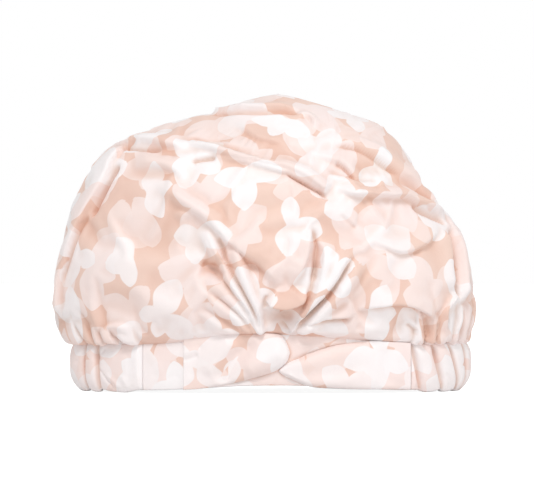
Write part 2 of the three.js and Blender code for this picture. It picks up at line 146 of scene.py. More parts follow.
# Catmull-Rom curve through the points, sampled evenly along its length.
def splineThrough(points, count):
    points = np.asarray(points, float)
    padded = np.vstack([points[:1], points, points[-1:]])
    t = np.linspace(0, len(points) - 1, count * 4)
    index = np.minimum(t.astype(int), len(points) - 2)
    t = (t - index)[:, None]
    a, b, c, d = (padded[index + k] for k in range(4))
    curve = 0.5 * (2 * b + (c - a) * t + (2 * a - 5 * b + 4 * c - d) * t**2 + (3 * b - a - 3 * c + d) * t**3)
    length = lengthAlong(curve)
    even = np.linspace(0, length[-1], count)
    return np.stack([np.interp(even, length, curve[:, k]) for k in range(curve.shape[1])], 1)


# For each point its distance to a chain of short steps, the nearest step, the share and the way from it.
def nearestOnChain(points, chain):
    start, step = chain[:-1], np.diff(chain, axis=0)
    along = np.einsum("nkd,kd->nk", points[:, None] - start, step) / np.maximum(np.sum(step**2, 1), 1e-9)
    along = np.clip(along, 0, 1)
    away = points[:, None] - (start + along[..., None] * step)
    distance = np.linalg.norm(away, axis=2)
    nearest = np.argmin(distance, axis=1)
    pick = np.arange(len(points))
    share = (nearest + along[pick, nearest]) / len(step)
    return distance[pick, nearest], nearest, share, away[pick, nearest]


class NodeTree:  # short calls for the node tree of a material or a world
    def __init__(self, owner, shader="Principled BSDF"):
        owner.use_nodes = True
        self.owner, self.tree = owner, owner.node_tree
        self.shader = self.tree.nodes[shader]

    def put(self, socket, value):
        if isinstance(value, bpy.types.NodeSocket):
            self.tree.links.new(value, socket)
        else:
            socket.default_value = value

    def add(self, kind, inputs=(), **settings):
        node = self.tree.nodes.new("ShaderNode" + kind)
        for key, value in settings.items():
            setattr(node, key, value)
        for key, value in dict(inputs).items():
            self.put(node.inputs[key], value)
        return node

    def math(self, operation, a, b=0.0):
        return self.add("Math", {0: a, 1: b}, operation=operation).outputs[0]

    def mix(self, share, a, b):
        node = self.add("Mix", data_type="RGBA")
        self.put(node.inputs[0], share)
        for socket, value in ((node.inputs[6], a), (node.inputs[7], b)):
            self.put(socket, value if isinstance(value, bpy.types.NodeSocket) else (*value[:3], 1.0))
        return node.outputs[2]

    def ramp(self, value, start, end, low=0.0, high=1.0):
        return self.add("MapRange", {0: value, 1: start, 2: end, 3: low, 4: high}).outputs[0]

    def place(self):
        return self.add("TexCoord").outputs["Object"]

    def noise(self, scale, detail=2.0, roughness=0.5):
        inputs = {"Vector": self.place(), "Scale": scale, "Detail": detail, "Roughness": roughness}
        return self.add("TexNoise", inputs).outputs["Fac"]

    def set(self, **values):
        for key, value in values.items():
            self.put(self.shader.inputs[key.replace("_", " ")], value)


# Colours written as 0 to 255 screen values, as the linear values that the shaders want.
def fromScreen(*levels):
    c = np.array(levels) / 255
    return tuple(float(v) for v in np.where(c <= 0.04045, c / 12.92, ((c + 0.055) / 1.055) ** 2.4))


cloth = {
    "ground": fromScreen(241, 211, 197),
    "groundDeep": fromScreen(235, 200, 185),
    "blush": fromScreen(246, 224, 216),
    "palePink": fromScreen(249, 234, 231),
    "white": fromScreen(251, 249, 250),
    "leafLayers": (("blushLeaf", "blush", "palePink"), ("pinkLeaf", "palePink", "blush"),
                   ("whiteLeaf", "white", "palePink")),  # from below, each with its colour and a second one
    "washScale": 22.0,  # of the noise by which the colours vary
    "leafWobble": 3.4, "wobbleScale": 52.0,  # mm by which a leaf's printed edge wanders
    "leafSoftness": 0.3, "leafCover": 0.94,  # mm at its edge, and how much it hides of what is under it
    "paintedCreaseShade": (0.86, 0.72, 0.64),  # painted shade: a warm darker colour multiplied in where the cloth folds into creases
    "roughness": 0.55, "sheen": 0.15, "sheenRoughness": 0.4,
    "threadPitch": 0.00045, "threadDepth": 0.00003,  # metres
    "threadWaver": 1.5, "threadStrength": 0.6,
    "crinkleDepth": 0.0002, "crinkleScale": 260.0, "crinkleStrength": 0.7,
    "unevenScale": 60.0, "unevenShade": 0.9,  # of a plain cloth
}


# Bump of a plain weave: the product of two crossed sets of threads, over a soft crinkle.
def weave(nodes, crinkle):
    threads, scale = [], 1 / cloth["threadPitch"] / math.tau
    for axis in ("X", "Z"):
        inputs = {"Vector": nodes.place(), "Scale": scale, "Distortion": cloth["threadWaver"]}
        wave = nodes.add("TexWave", inputs, bands_direction=axis, wave_profile="SIN")
        threads.append(wave.outputs["Fac"])
    crossed = nodes.math("MULTIPLY", *threads)
    uneven = nodes.noise(cloth["crinkleScale"], 4.0, 0.55)
    soft = {"Height": uneven, "Distance": crinkle, "Strength": cloth["crinkleStrength"]}
    fine = {"Height": crossed, "Distance": cloth["threadDepth"], "Strength": cloth["threadStrength"]}
    return nodes.add("Bump", {**fine, "Normal": nodes.add("Bump", soft).outputs[0]}).outputs[0]


# Tan ground under three layers of leaves; each layer has an edge distance in mm and a tone of its own.
# Painted shade darkens the creases.
def printedCloth(name):
    nodes = NodeTree(bpy.data.materials.new(name))
    wash = nodes.noise(cloth["washScale"], 3.0, 0.6)
    half, soft = 0.5 * cloth["leafWobble"], cloth["leafSoftness"]
    wobble = nodes.ramp(nodes.noise(cloth["wobbleScale"], 1.0), 0.3, 0.7, -half, half)
    colour = nodes.mix(nodes.ramp(wash, 0.35, 0.65), cloth["ground"], cloth["groundDeep"])
    for layer, plain, other in cloth["leafLayers"]:
        leaf = nodes.add("Attribute", attribute_name=layer).outputs["Vector"]
        edge, tone = nodes.add("SeparateXYZ", {0: leaf}).outputs[:2]
        own = nodes.mix(nodes.math("MULTIPLY", tone, 0.5), cloth[plain], cloth[other])
        own = nodes.mix(nodes.ramp(wash, 0.4, 0.7, 0.0, 0.3), own, cloth[other])
        cover = nodes.ramp(nodes.math("ADD", edge, wobble), -soft, soft, 0.0, cloth["leafCover"])
        colour = nodes.mix(cover, colour, own)
    # Painted shade: where the "crease" attribute is set, the colour is multiplied by the warm crease shade.
    crease = nodes.add("Attribute", attribute_name="crease").outputs["Fac"]
    creaseShaded = nodes.add("Mix", data_type="RGBA", blend_type="MULTIPLY")
    for socket, value in ((0, crease), (6, colour), (7, (*cloth["paintedCreaseShade"], 1.0))):
        nodes.put(creaseShaded.inputs[socket], value)
    nodes.set(Base_Color=creaseShaded.outputs[2], Roughness=cloth["roughness"], Sheen_Weight=cloth["sheen"],
              Sheen_Roughness=cloth["sheenRoughness"], Normal=weave(nodes, cloth["crinkleDepth"]))
    return nodes.owner


# One colour, softly uneven, with the same weave as the print.
def plainCloth(name, colour, roughness, sheen, crinkle):
    nodes = NodeTree(bpy.data.materials.new(name))
    uneven = nodes.ramp(nodes.noise(cloth["unevenScale"], 3.0), 0.3, 0.7, 0.0, 0.6)
    darker = tuple(cloth["unevenShade"] * c for c in colour)
    nodes.set(Base_Color=nodes.mix(uneven, colour, darker), Roughness=roughness, Sheen_Weight=sheen,
              Normal=weave(nodes, crinkle))
    return nodes.owner


leafPrint = {
    "layers": {  # mm between leaf sprays, a leaf's length and its half width
        "blushLeaf": {"spacing": 37.0, "length": 27.0, "halfWidth": 8.6, "seed": 5},
        "pinkLeaf": {"spacing": 36.0, "length": 27.0, "halfWidth": 9.0, "seed": 11},
        "whiteLeaf": {"spacing": 35.0, "length": 25.0, "halfWidth": 8.0, "seed": 23},
    },
    "sprays": [(-1.2, 0.0, 1.15, 3.0), (-0.75, 0.75, 2.5), (-1.35, -0.1, 1.2)],  # angles of their leaves
    "sizes": (0.7, 1.15), "start": 3.0,  # times its length, and mm by which it starts behind the middle
    "skew": 1.15, "bulge": 0.65, "tipSlope": 2.5, "outsideSlope": 0.4, "reach": 1.3,
    "onBand": 0.82,  # share of the spacing that is kept on the band
    "bare": [((283, 320), 19.0), ((266, 246), 16.0)],  # pixels and mm: no spray starts near the knot
    "tries": 9000, "outside": -9.0,  # places tried for a spray, and the edge distance far from all leaves
    "upright": (0.3, 0.4, 0.86),  # the direction from which a spray's turn counts
}


# Rough mm inside a leaf that starts at the origin along a: its half width is h·sin(pi·u^skew)^bulge, with
# u the share of its length; beyond its ends it is minus the distance to them.
def leafEdge(a, b, length, halfWidth):
    u = a / length
    rounded = np.sin(np.pi * np.clip(u, 0, 1) ** leafPrint["skew"])
    inside = halfWidth * np.clip(rounded, 0, 1) ** leafPrint["bulge"] - np.abs(b)
    ends = np.minimum(u, 1 - u) * length
    beyond = ends - np.abs(b) * leafPrint["outsideSlope"]
    return np.where(ends > 0, np.minimum(inside, ends * leafPrint["tipSlope"]), beyond)


# Points of the surface in random order, each kept if no earlier one lies within the spacing.
def scatter(points, spacing, rng):
    kept = []
    for point in points[rng.permutation(len(points))[:leafPrint["tries"]]]:
        if not kept or np.min(np.sum((np.array(kept) - point) ** 2, axis=1)) > spacing**2:
            kept.append(point)
    return np.array(kept)


def nearBare(centre):
    spots = [(*fromPhoto(spot), reach) for spot, reach in leafPrint["bare"]]
    near = any(np.hypot(centre[0] - x, centre[2] - z) < reach for x, z, reach in spots)
    return centre[1] < ringMiddle[1] and near


# For each layer, sprays of leaves are scattered over the unfolded cloth and turned at random in its own
# plane. A point gets its distance inside the nearest leaf, and that leaf's tone.
def printLeaves(piece, points, normals, seed=0, onCrown=False):
    normals = np.broadcast_to(normals, points.shape).reshape(-1, 3)
    points = points.reshape(-1, 3)
    for layer, leaf in leafPrint["layers"].items():
        rng = np.random.default_rng(leaf["seed"] + seed)
        edge, tone = np.full(len(points), leafPrint["outside"]), np.zeros(len(points))
        for centre in scatter(points, leaf["spacing"] * (1 if onCrown else leafPrint["onBand"]), rng):
            if onCrown and nearBare(centre):
                continue
            away = points - centre
            near = np.nonzero(np.sum(away**2, axis=1) < (leafPrint["reach"] * leaf["length"]) ** 2)[0]
            away = away[near]
            normal = normals[near[np.argmin(np.sum(away**2, axis=1))]]
            turn, kind, ownTone = rng.uniform(0, 2 * np.pi), rng.integers(3), rng.random()
            start = np.cross(normal, leafPrint["upright"])
            start /= np.linalg.norm(start)
            a, b = away @ start, away @ np.cross(normal, start)
            best = np.full(len(near), leafPrint["outside"])
            for angle in leafPrint["sprays"][kind]:
                size = rng.uniform(*leafPrint["sizes"])
                c, s = math.cos(turn + angle), math.sin(turn + angle)
                along, across = a * c + b * s + leafPrint["start"], b * c - a * s
                inside = leafEdge(along, across, leaf["length"] * size, leaf["halfWidth"] * size)
                best = np.maximum(best, inside)
            better = best > edge[near]
            edge[near[better]] = best[better]
            tone[near[better]] = ownTone
        addAttribute(piece, layer, np.stack([edge, tone, np.zeros(len(points))], 1))


def ringX(angle):
    return ringMiddle[0] + ring["halfWidth"] * np.cos(angle)


def frontAngle(x):
    return -np.arccos(np.clip((x - ringMiddle[0]) / ring["halfWidth"], -1, 1))


# One at the middle of the band's front, zero at its side seams and behind.
def archShare(angle):
    middle = (ring["leftSeam"] + ring["rightSeam"]) / 2 + drawingShift
    share = (ringX(angle) - middle) / ((ring["rightSeam"] - ring["leftSeam"]) / 2)
    return np.where(np.sin(angle) < 0, np.clip(1 - share**2, 0, 1) ** 2, 0)


def bandTop(angle):
    return ring["height"] + ring["topArch"] * archShare(angle)


def bandBottom(angle):
    return ring["bottomRise"] + ring["bottomArch"] * archShare(angle)


# A place on the band: the oval's point at this angle, moved outwards along the oval's normal.
def ringPoint(angle, outward, z):
    normal = unit(np.stack([np.cos(angle) / ring["halfWidth"], np.sin(angle) / ring["halfDepth"]]), 0)
    x = ringMiddle[0] + ring["halfWidth"] * np.cos(angle) + outward * normal[0]
    y = ringMiddle[1] + ring["halfDepth"] * np.sin(angle) + outward * normal[1]
    return np.stack(np.broadcast_arrays(x, y, z), -1)


def ringNormal(angle):
    return ringPoint(angle, 1.0, 0.0) - ringPoint(angle, 0.0, 0.0)


roundAngles = np.linspace(-np.pi, np.pi, 4001)
roundArcs = np.concatenate([[0], np.cumsum(np.hypot(np.diff(ring["halfWidth"] * np.cos(roundAngles)),
                                                    np.diff(ring["halfDepth"] * np.sin(roundAngles))))])


# Millimetres round the oval from its left end, through the front.
def arcAt(angle):
    return np.interp((angle + np.pi) % (2 * np.pi) - np.pi, roundAngles, roundArcs)


# Millimetres round the oval from the front band's right seam, round the back.
def arcFromRight(angle):
    return (arcAt(angle) - arcAt(rightSeamAngle)) % roundArcs[-1]


leftSeamAngle = float(frontAngle(ring["leftSeam"] + drawingShift))
rightSeamAngle = float(frontAngle(ring["rightSeam"] + drawingShift))

gathers = {
    "seed": 3, "pitch": (8.5, 14.0),  # mm between the creases behind
    "heightShare": 0.3, "heights": (1.2, 3.6), "heightSpread": (0.75, 1.1),
    "length": (14.0, 50.0), "fadeFrom": 0.1, "slant": 0.22, "far": 99.0,
    "pouch": 34.0,  # mm about the left end over which they stay short
    "lean": 0.62, "flatness": 2.6, "fullness": 0.8,  # the shape of a tube, see gatherTubes
    "leftEnd": 1.5,  # height of the smooth stretch beside the left seam
    "crownReach": 18.0,  # mm above the seam at which the crown's second pixel columns are read
    "casing": {"right": [(410, 418), (430, 441), (447, 457), (461, 463)],
               "left": [(86.5, 86), (99, 100)]},
    "crown": {"right": [(424, 414), (434, 428), (449, 449), (457, 457), (463, 464)],
              "left": [(90, 88), (101, 98), (112, 108), (126, 120)]},
}


# Creases in mm from the front band's right seam round the back to its left seam, each with a slant, and
# for each tube between two creases its height and its length. Those seen in front have two pixel columns
# in the lists above, at the seam and at the other end.
def placeGathers(part, reach):
    rng = np.random.default_rng(gathers["seed"])
    seen = (np.array(gathers[part][side], float) for side in ("right", "left"))
    right, left = (arcFromRight(frontAngle(fromPhoto(np.stack([columns] * 2, -1))[0])) for columns in seen)
    creases = [0.0, *right[:, 0]]
    while creases[-1] < left[0, 0] - gathers["pouch"]:
        creases.append(creases[-1] + rng.uniform(*gathers["pitch"]))
    creases = np.array([*creases, *left[:, 0], arcFromRight(leftSeamAngle)])
    shares = rng.uniform(*gathers["heightSpread"], len(creases) - 1)
    high = np.clip(np.diff(creases) * gathers["heightShare"], *gathers["heights"]) * shares
    high[-1] = gathers["leftEnd"]
    slant = rng.uniform(-1, 1, len(creases)) * gathers["slant"]
    slant[1:1 + len(right)] = (right[:, 1] - right[:, 0]) / reach
    slant[-1 - len(left):-1] = (left[:, 1] - left[:, 0]) / reach
    slant[[0, -1]] = 0
    length = rng.uniform(*gathers["length"], len(high))
    pouch = np.abs(creases - left[0, 0]) < gathers["pouch"]
    slant[pouch & (creases < left[0, 0])] = 0
    length[pouch[:-1]] = gathers["length"][0]
    return creases, high, slant, length


# The gathers stand out as rounded tubes, h·(1−|2v−1|^flatness)^fullness. From u, the share from a crease
# to the next, v is u^lean, or from the back's middle on 1−(1−u)^lean, so that all tubes are steeper
# towards the front. The creases slant with the distance from the seam, and each tube ends at its own
# length. Also returns how full the tube is, from zero to one, and the mm to the nearest crease.
def gatherTubes(gatherList, arc, away):
    creases, high, slant, length = gatherList
    arc, away = np.broadcast_arrays(arc, away)
    total, full, nearest = np.zeros(arc.shape), np.zeros(arc.shape), np.full(arc.shape, gathers["far"])
    for k in range(len(high)):
        start = creases[k] + slant[k] * away
        end = creases[k + 1] + slant[k + 1] * away
        share = np.clip((arc - start) / np.maximum(end - start, 1.0), 0, 1)
        share = share ** gathers["lean"] if k < len(high) / 2 else 1 - (1 - share) ** gathers["lean"]
        tube = np.clip(1 - np.abs(2 * share - 1) ** gathers["flatness"], 0, 1) ** gathers["fullness"]
        full = np.maximum(full, tube)
        lasting = 1 - smoothStep(gathers["fadeFrom"] * length[k], length[k], away)
        total = np.maximum(total, high[k] * tube * lasting)
        if k:
            nearest = np.minimum(nearest, np.abs(arc - start))
    return total, full, nearest


casingGathers = placeGathers("casing", ring["height"])
crownGathers = placeGathers("crown", gathers["crownReach"])

crown = {
    "halfWidth": 137.5, "halfDepth": 74.0, "height": 161.0, "lift": 0.3, "crestShift": 9.0,
    "columns": 510, "rows": 193, "rowCrowding": 1.15, "frontCrowding": 0.55,
    "left": [(-0.975, 0.04), (-1, 0.15), (-0.985, 0.28), (-0.945, 0.44), (-0.9, 0.57), (-0.81, 0.71),
             (-0.74, 0.78), (-0.625, 0.83), (-0.46, 0.88), (-0.26, 0.925), (-0.1, 0.97)],
    "right": [(0.985, 0.04), (1, 0.15), (0.97, 0.3), (0.93, 0.44), (0.84, 0.54), (0.75, 0.635),
              (0.69, 0.735), (0.625, 0.81), (0.53, 0.88), (0.38, 0.925), (0.21, 0.97)],
    "front": [(-0.91, 0.06), (-0.99, 0.2), (-0.98, 0.38), (-0.92, 0.55), (-0.8, 0.7), (-0.61, 0.83),
              (-0.37, 0.93), (-0.16, 0.985)],
    "back": [(0.93, 0.06), (1, 0.2), (0.99, 0.4), (0.93, 0.58), (0.81, 0.73), (0.62, 0.85),
             (0.38, 0.94), (0.17, 0.985)],
    "foldsFrom": 4.5, "foldsUpTo": 0.93,  # folds start over these mm, and end from this rise to the crest
    "gatherShare": 0.9, "creaseDepth": 1.6, "creaseWidth": 1.1, "creaseReach": 16.0,
    "seamRoll": 1.9, "frontRollShare": 0.4, "creaseRollShare": 0.35,  # the cloth rolls out above the band,
    "rollMiddle": 3.0, "seamRollHeight": 3.2, "rollStart": 1.5,  # about this height
    "scallop": 2.6, "scallopFull": 0.55, "scallopReach": 5.0,  # the lower edge hangs between two gathers
    "hem": [(-1.6, 5.0), (-1.0, 1.2)],  # outward and down: the lower edge is sewn in behind the band
    "outlineSlice": 3.0, "outlineShares": (0.55, 0.95),
    "dipWindow": 3, "dipDepth": 2.0, "pitDepth": 12.0, "pitShade": 0.4,  # where the painted crease shade goes
}


def crownOutline(side, start, half, crest):
    between = [(a * half, b * crown["height"]) for a, b in crown[side]]
    return splineThrough([(start, 0), *between, (crest, crown["height"])], 600)


outlines = [
    crownOutline("left", bandShift - ring["halfWidth"], crown["halfWidth"], crown["crestShift"]),
    crownOutline("right", bandShift + ring["halfWidth"], crown["halfWidth"], crown["crestShift"]),
    crownOutline("front", -ring["halfDepth"], crown["halfDepth"], 0.0),
    crownOutline("back", ring["halfDepth"], crown["halfDepth"], 0.0),
]


# The crown without folds: at each rise an oval through the left, right, front and back outlines.
def crownBase(angle, rise):
    c, s = np.cos(angle), np.sin(angle)
    where = np.linspace(0, 1, len(outlines[0]))
    left, right, front, back = ([np.interp(rise, where, line[:, k]) for k in (0, 1)] for line in outlines)
    (sideX, sideZ), (faceY, faceZ) = np.where(c >= 0, right, left), np.where(s >= 0, back, front)
    middle = bandShift + (crown["crestShift"] - bandShift) * rise**2
    seam = ring["height"] + crown["lift"] + ring["topArch"] * archShare(angle) * (1 - rise) ** 3
    x = middle + np.abs(c) * (sideX - middle) + drawingShift
    y = np.abs(s) * faceY + ringMiddle[1]
    return np.stack([x, y, seam + faceZ + (sideZ - faceZ) * c**2], -1)


# A fold is a line on the front of the crown where its ridge is seen, in pixels of the photograph. Before
# its pixels stand, in mm, its height, the widths over which it falls away on its left and on its right,
# seen along the line, and how far it hangs over to the right. Then come the shares of its length over
# which it rises and dies away, how many times wider its end is than its start, and its crispness: 2 is
# rounded, less is sharper and more is fuller.
folds = {
    "drapeRoll": (6, 5.4, 5, 1, 0.3, 0.2, 1, 2.2,
        [(156, 184), (172, 192), (190, 204), (208, 216), (226, 231), (243, 245)]),
    "bigDrape": (6.6, 18, 4.6, 1.6, 0.5, 0.2, 1, 2,
        [(206, 219), (226, 235), (244, 250), (260, 262), (274, 275), (284, 286)]),
    "drapeSide": (6, 12, 3, 1.1, 0.3, 0.3, 1, 2,
        [(288, 286), (297, 273), (304, 257), (308, 240), (310, 224)]),
    "lobeTop": (1.2, 8, 6.5, 0.2, 0.35, 0.4, 1, 2,
        [(244, 240), (256, 231), (272, 225), (292, 222), (314, 222)]),
    "lobeCrease": (2.2, 4, 2, 0.5, 0.2, 0.2, 1, 1.5, [(289, 274), (292, 254), (299, 238), (308, 227)]),
    "pillow": (7.6, 7, 1.6, 2.4, 0.12, 0.3, 1, 2,
        [(265, 299), (274, 304), (286, 305), (298, 302), (306, 295), (309, 285)]),
    "leftPleat1": (5, 2.6, 2.2, 0.2, 0.02, 0.2, 2, 2.8,
        [(263, 330), (257, 308), (249, 288), (243, 268), (238, 250), (236, 238)]),
    "leftPleat2": (4.8, 2.3, 2, -0.2, 0.02, 0.2, 2, 2.4,
        [(260, 330), (249, 308), (238, 290), (228, 272), (217, 255), (208, 238), (203, 225)]),
    "leftPleat3": (3.4, 3, 2.4, 0.4, 0.02, 0.3, 1.8, 2.2,
        [(257, 330), (244, 312), (230, 296), (217, 284), (205, 276)]),
    "leftPleat4": (3.2, 3.4, 2.4, 0.6, 0.02, 0.4, 1.8, 2.2,
        [(252, 331), (238, 316), (222, 304), (208, 295), (197, 286)]),
    "leftPleat5": (2.4, 3.2, 2, 0.6, 0.05, 0.5, 1.8, 2, [(247, 333), (229, 326), (211, 318), (196, 309)]),
    "rightPleat1": (7, 1.3, 3.4, -1.2, 0.02, 0.25, 2, 1.6,
        [(284, 331), (299, 310), (312, 292), (319, 272), (322, 252), (319, 236)]),
    "rightPleat2": (6.8, 4.2, 2.4, 0.7, 0.02, 0.3, 1.8, 2.1,
        [(290, 328), (304, 310), (319, 294), (332, 276), (343, 259), (361, 244)]),
    "rightPleat3": (6.4, 3, 4, -0.6, 0.02, 0.2, 1.7, 2.2,
        [(297, 330), (314, 314), (331, 298), (345, 280), (355, 263), (359, 252)]),
    "rightPleat4": (4, 4.2, 1.3, 1.2, 0.05, 0.35, 1.6, 1.6,
        [(303, 322), (322, 316), (342, 314), (360, 314)]),
    "rightEave": (5.5, 7, 1.8, 2.2, 0.3, 0.2, 1, 2,
        [(352, 312), (372, 305), (395, 303), (414, 306), (427, 314), (433, 324)]),
    "cornerFold": (5.4, 8, 1.9, 1.6, 0.4, 0.35, 1, 2,
        [(112, 149), (124, 145), (145, 144), (170, 147), (196, 152)]),
    "topRope": (5.5, 4.6, 3, 1.6, 0.3, 0.05, 1, 2.8,
        [(176, 144), (205, 149), (232, 155), (258, 160), (290, 168), (312, 179), (329, 192)]),
    "ropeSkirt": (3.4, 12, 2.4, 1.6, 0.4, 0.15, 1, 2,
        [(200, 156), (240, 163), (275, 171), (300, 180), (330, 197)]),
    "crestFold": (4.8, 6, 1.4, 1.8, 0.08, 0.3, 1, 1.8,
        [(206, 114), (222, 112), (255, 111), (288, 111), (308, 116)]),
    "crestKnot": (2.6, 3, 1.6, 0.6, 0.3, 0.3, 1, 2, [(296, 120), (305, 115), (313, 121), (313, 132)]),
    "crestSoft": (2.6, 7, 2.4, 1, 0.3, 0.3, 1, 2, [(232, 122), (246, 130), (262, 139), (290, 146)]),
    "topRight": (5.4, 10, 4.2, 0.3, 0.4, 0.15, 1, 2,
        [(320, 134), (336, 142), (352, 147), (368, 153), (385, 162), (402, 174), (424, 193), (446, 217)]),
    "topRightLow": (3.4, 6, 2.2, 1, 0.4, 0.3, 1, 2,
        [(306, 152), (326, 159), (343, 166), (356, 178), (366, 184)]),
    "rightShelf": (6.5, 6, 2.3, 2, 0.2, 0.15, 1, 2,
        [(330, 187), (350, 196), (380, 198), (404, 200), (426, 208), (449, 220)]),
    "shelfRoll": (2.6, 5, 2.4, 0.8, 0.3, 0.3, 1, 2, [(326, 175), (345, 181), (370, 185), (396, 184)]),
    "underShelf": (1.6, 6, 2, 0.6, 0.3, 0.3, 1, 2, [(334, 210), (343, 217), (352, 224), (358, 226)]),
    "rightHook": (3.4, 9, 2.6, 1, 0.3, 0.25, 1, 2,
        [(366, 238), (382, 245), (400, 250), (420, 244), (442, 229)]),
    "leftShoulder": (3, 6, 3, 1, 0.3, 0.4, 1, 2, [(132, 166), (150, 164), (170, 168), (190, 180)]),
    "leftShoulder2": (2.4, 3, 4, 0.5, 0.35, 0.35, 1, 2, [(176, 220), (186, 214), (200, 216)]),
    "leftRoll": (5, 2.2, 10, -2.4, 0.08, 0.1, 1, 2,
        [(128, 146), (116, 160), (106, 180), (95, 200), (84, 222), (75, 246), (66, 276), (61, 300),
         (62, 322)]),
    "rightRoll": (5, 9, 2.4, 0.5, 0.45, 0.2, 1, 2,
        [(447, 216), (456, 232), (461, 255), (463, 280), (463, 304)]),
    "rightInner": (3, 2, 8, -0.5, 0.2, 0.2, 1, 2, [(440, 226), (449, 246), (451, 270), (452, 292)]),
    "leftTuck": (3.6, 2, 5, -0.8, 0.2, 0.35, 1, 2, [(100, 334), (106, 327), (120, 323), (136, 326)]),
    "leftFan2": (2.6, 2.2, 3.4, 0.3, 0.02, 0.4, 2, 1.8, [(95, 341), (97, 324), (94, 306), (96, 290)]),
    "leftFan3": (2.8, 2, 2, 0.3, 0.05, 0.3, 1, 1.6, [(101, 342), (108, 333), (122, 333), (136, 337)]),
    "rightFan1": (4.2, 1.6, 3, -0.8, 0.02, 0.25, 1, 1.6,
        [(449, 344), (446, 324), (445, 308), (452, 297), (459, 294)]),
    "rightFan2": (3.2, 2.4, 2.6, 0.4, 0.02, 0.4, 1, 1.6, [(452, 344), (457, 330), (461, 316), (464, 300)]),
    "rightFan3": (3.4, 1.6, 4, -0.5, 0.02, 0.4, 1, 1.6, [(431, 344), (434, 326), (432, 312), (420, 300)]),
    "rightFan4": (2.6, 2.4, 2, 0.3, 0.02, 0.5, 1, 1.6, [(422, 344), (420, 332), (412, 322), (400, 314)]),
}

# Lines along which the cloth is drawn in, each with the pixels, a depth and a width in mm.
valleys = [
    ([(298, 323), (308, 312), (324, 297), (337, 279), (347, 264), (352, 256)], 2.4, 1.4),
    ([(297, 324), (304, 316), (314, 307), (326, 294)], 2.2, 1.2),
    ([(312, 282), (314, 270), (315, 256), (315, 242), (311, 225)], 4.5, 2.1),
    ([(298, 309), (305, 298), (310, 286), (313, 272), (315, 258)], 2.8, 1.4),
    ([(261, 327), (253, 308), (244, 290), (234, 273), (226, 256), (222, 234)], 3.4, 1.0),
    ([(224, 262), (223, 250), (221, 234)], 2.6, 1.6),
    ([(258, 327), (247, 308), (234, 291), (222, 277), (205, 266)], 2.2, 0.9),
    ([(254, 328), (240, 313), (226, 301), (212, 292)], 1.5, 0.9),
    ([(250, 331), (233, 322), (216, 312), (200, 303)], 1.0, 0.9),
    ([(224, 268), (214, 252), (207, 236)], 1.2, 1.0),
    ([(266, 306), (265, 299), (267, 292)], 1.6, 1.2),
    ([(268, 274), (258, 264), (247, 255), (238, 248)], 1.6, 3.2),
    ([(121, 162), (112, 177), (102, 197), (92, 219)], 6.5, 1.9),
    ([(92, 212), (84, 228), (78, 243), (68, 268), (64, 288)], 2.6, 1.5),
    ([(284, 172), (302, 182), (318, 192), (328, 197)], 4.5, 1.7),
    ([(192, 161), (206, 160), (218, 158)], 4.5, 1.6),
    ([(120, 148), (142, 149), (165, 151)], 5.0, 1.5),
    ([(183, 137), (215, 143), (255, 154), (292, 162)], 3.2, 1.6),
    ([(334, 146), (350, 149), (366, 156), (384, 166), (401, 177)], 4.2, 1.5),
    ([(334, 161), (344, 168), (353, 180)], 3.5, 1.7),
    ([(412, 207), (430, 215), (448, 223)], 6.0, 1.8),
    ([(326, 171), (350, 178), (380, 181)], 2.0, 1.6),
    ([(449, 226), (455, 246), (457, 270), (458, 290), (462, 299)], 6.5, 2.0),
    ([(212, 114), (236, 113), (262, 113), (290, 113), (304, 117)], 3.0, 1.2),
    ([(338, 214), (347, 221), (356, 228)], 1.8, 1.4),
    ([(201, 262), (212, 267), (227, 276)], 4.0, 3.4),
    ([(380, 246), (400, 254), (424, 247)], 1.4, 2.2),
    ([(304, 321), (325, 319), (350, 317)], 3.0, 1.2),
    ([(91, 343), (88, 327), (80, 308)], 1.6, 1.3),
    ([(103, 341), (112, 338), (124, 341)], 3.4, 1.5),
    ([(448, 342), (448, 322), (449, 304)], 4.0, 1.3),
    ([(428, 342), (428, 326), (424, 314)], 3.0, 1.3),
    ([(438, 342), (440, 322), (436, 306)], 2.4, 1.3),
    ([(417, 342), (414, 330), (404, 322)], 2.4, 1.3),
]

# Broad soft places: middle and radii in pixels, height in mm.
swells = [
    ((284, 318), (17, 12), -8.5), ((212, 267), (15, 8), -4.0), ((256, 264), (11, 8), -2.6),
    ((110, 270), (44, 40), 3.0), ((420, 275), (30, 26), 3.0), ((160, 238), (34, 20), -3.5),
    ((396, 232), (26, 10), -2.0), ((180, 308), (40, 16), 3.0), ((350, 327), (50, 9), 1.5),
    ((405, 322), (20, 10), -2.4), ((255, 190), (50, 14), 2.5), ((232, 132), (26, 12), -2.0),
    ((370, 168), (26, 9), -3.0), ((150, 174), (26, 7), -2.5), ((128, 306), (26, 14), -1.5),
    ((330, 210), (18, 12), 2.0), ((372, 278), (24, 24), 2.0), ((200, 245), (14, 16), -2.0),
]

wrinkles = {"count": 70, "seed": 8, "height": (0.3, 0.9), "width": (1.4, 3.4), "length": (14.0, 44.0),
            "turn": 0.8, "bend": 0.012, "depth": 25.0}


# The front points of the crown that lie nearest to each x and z.
def ontoFront(x, z, points, inSight):
    front = np.nonzero(inSight)[0]
    candidates = points[front]
    return front[[np.argmin((candidates[:, 0] - a) ** 2 + (candidates[:, 2] - b) ** 2) for a, b in zip(x, z)]]


# What the folds and the valleys share: steps along their lines, how many widths away they end, how blunt
# they are in mm², and a valley's crispness and ends. Folds sharper than "sharp" reach further.
drape = {
    "foldSteps": 40, "foldReach": 2.6, "sharp": 1.8, "sharpReach": 4.0, "foldBlunt": 0.25,
    "valleySteps": 24, "valleyReach": 4.5, "valleyBlunt": 0.1, "valleyCrisp": 1.3,
    "valleyEnds": (0.15, 0.2), "swellStart": 0.35, "front": -0.03,
}


# The points within reach of a line, and where on the line they are nearest to it.
def besideLine(points, line, reach):
    near = np.nonzero(np.all((points > line.min(0) - reach) & (points < line.max(0) + reach), axis=1))[0]
    return near, *nearestOnChain(points[near], line)


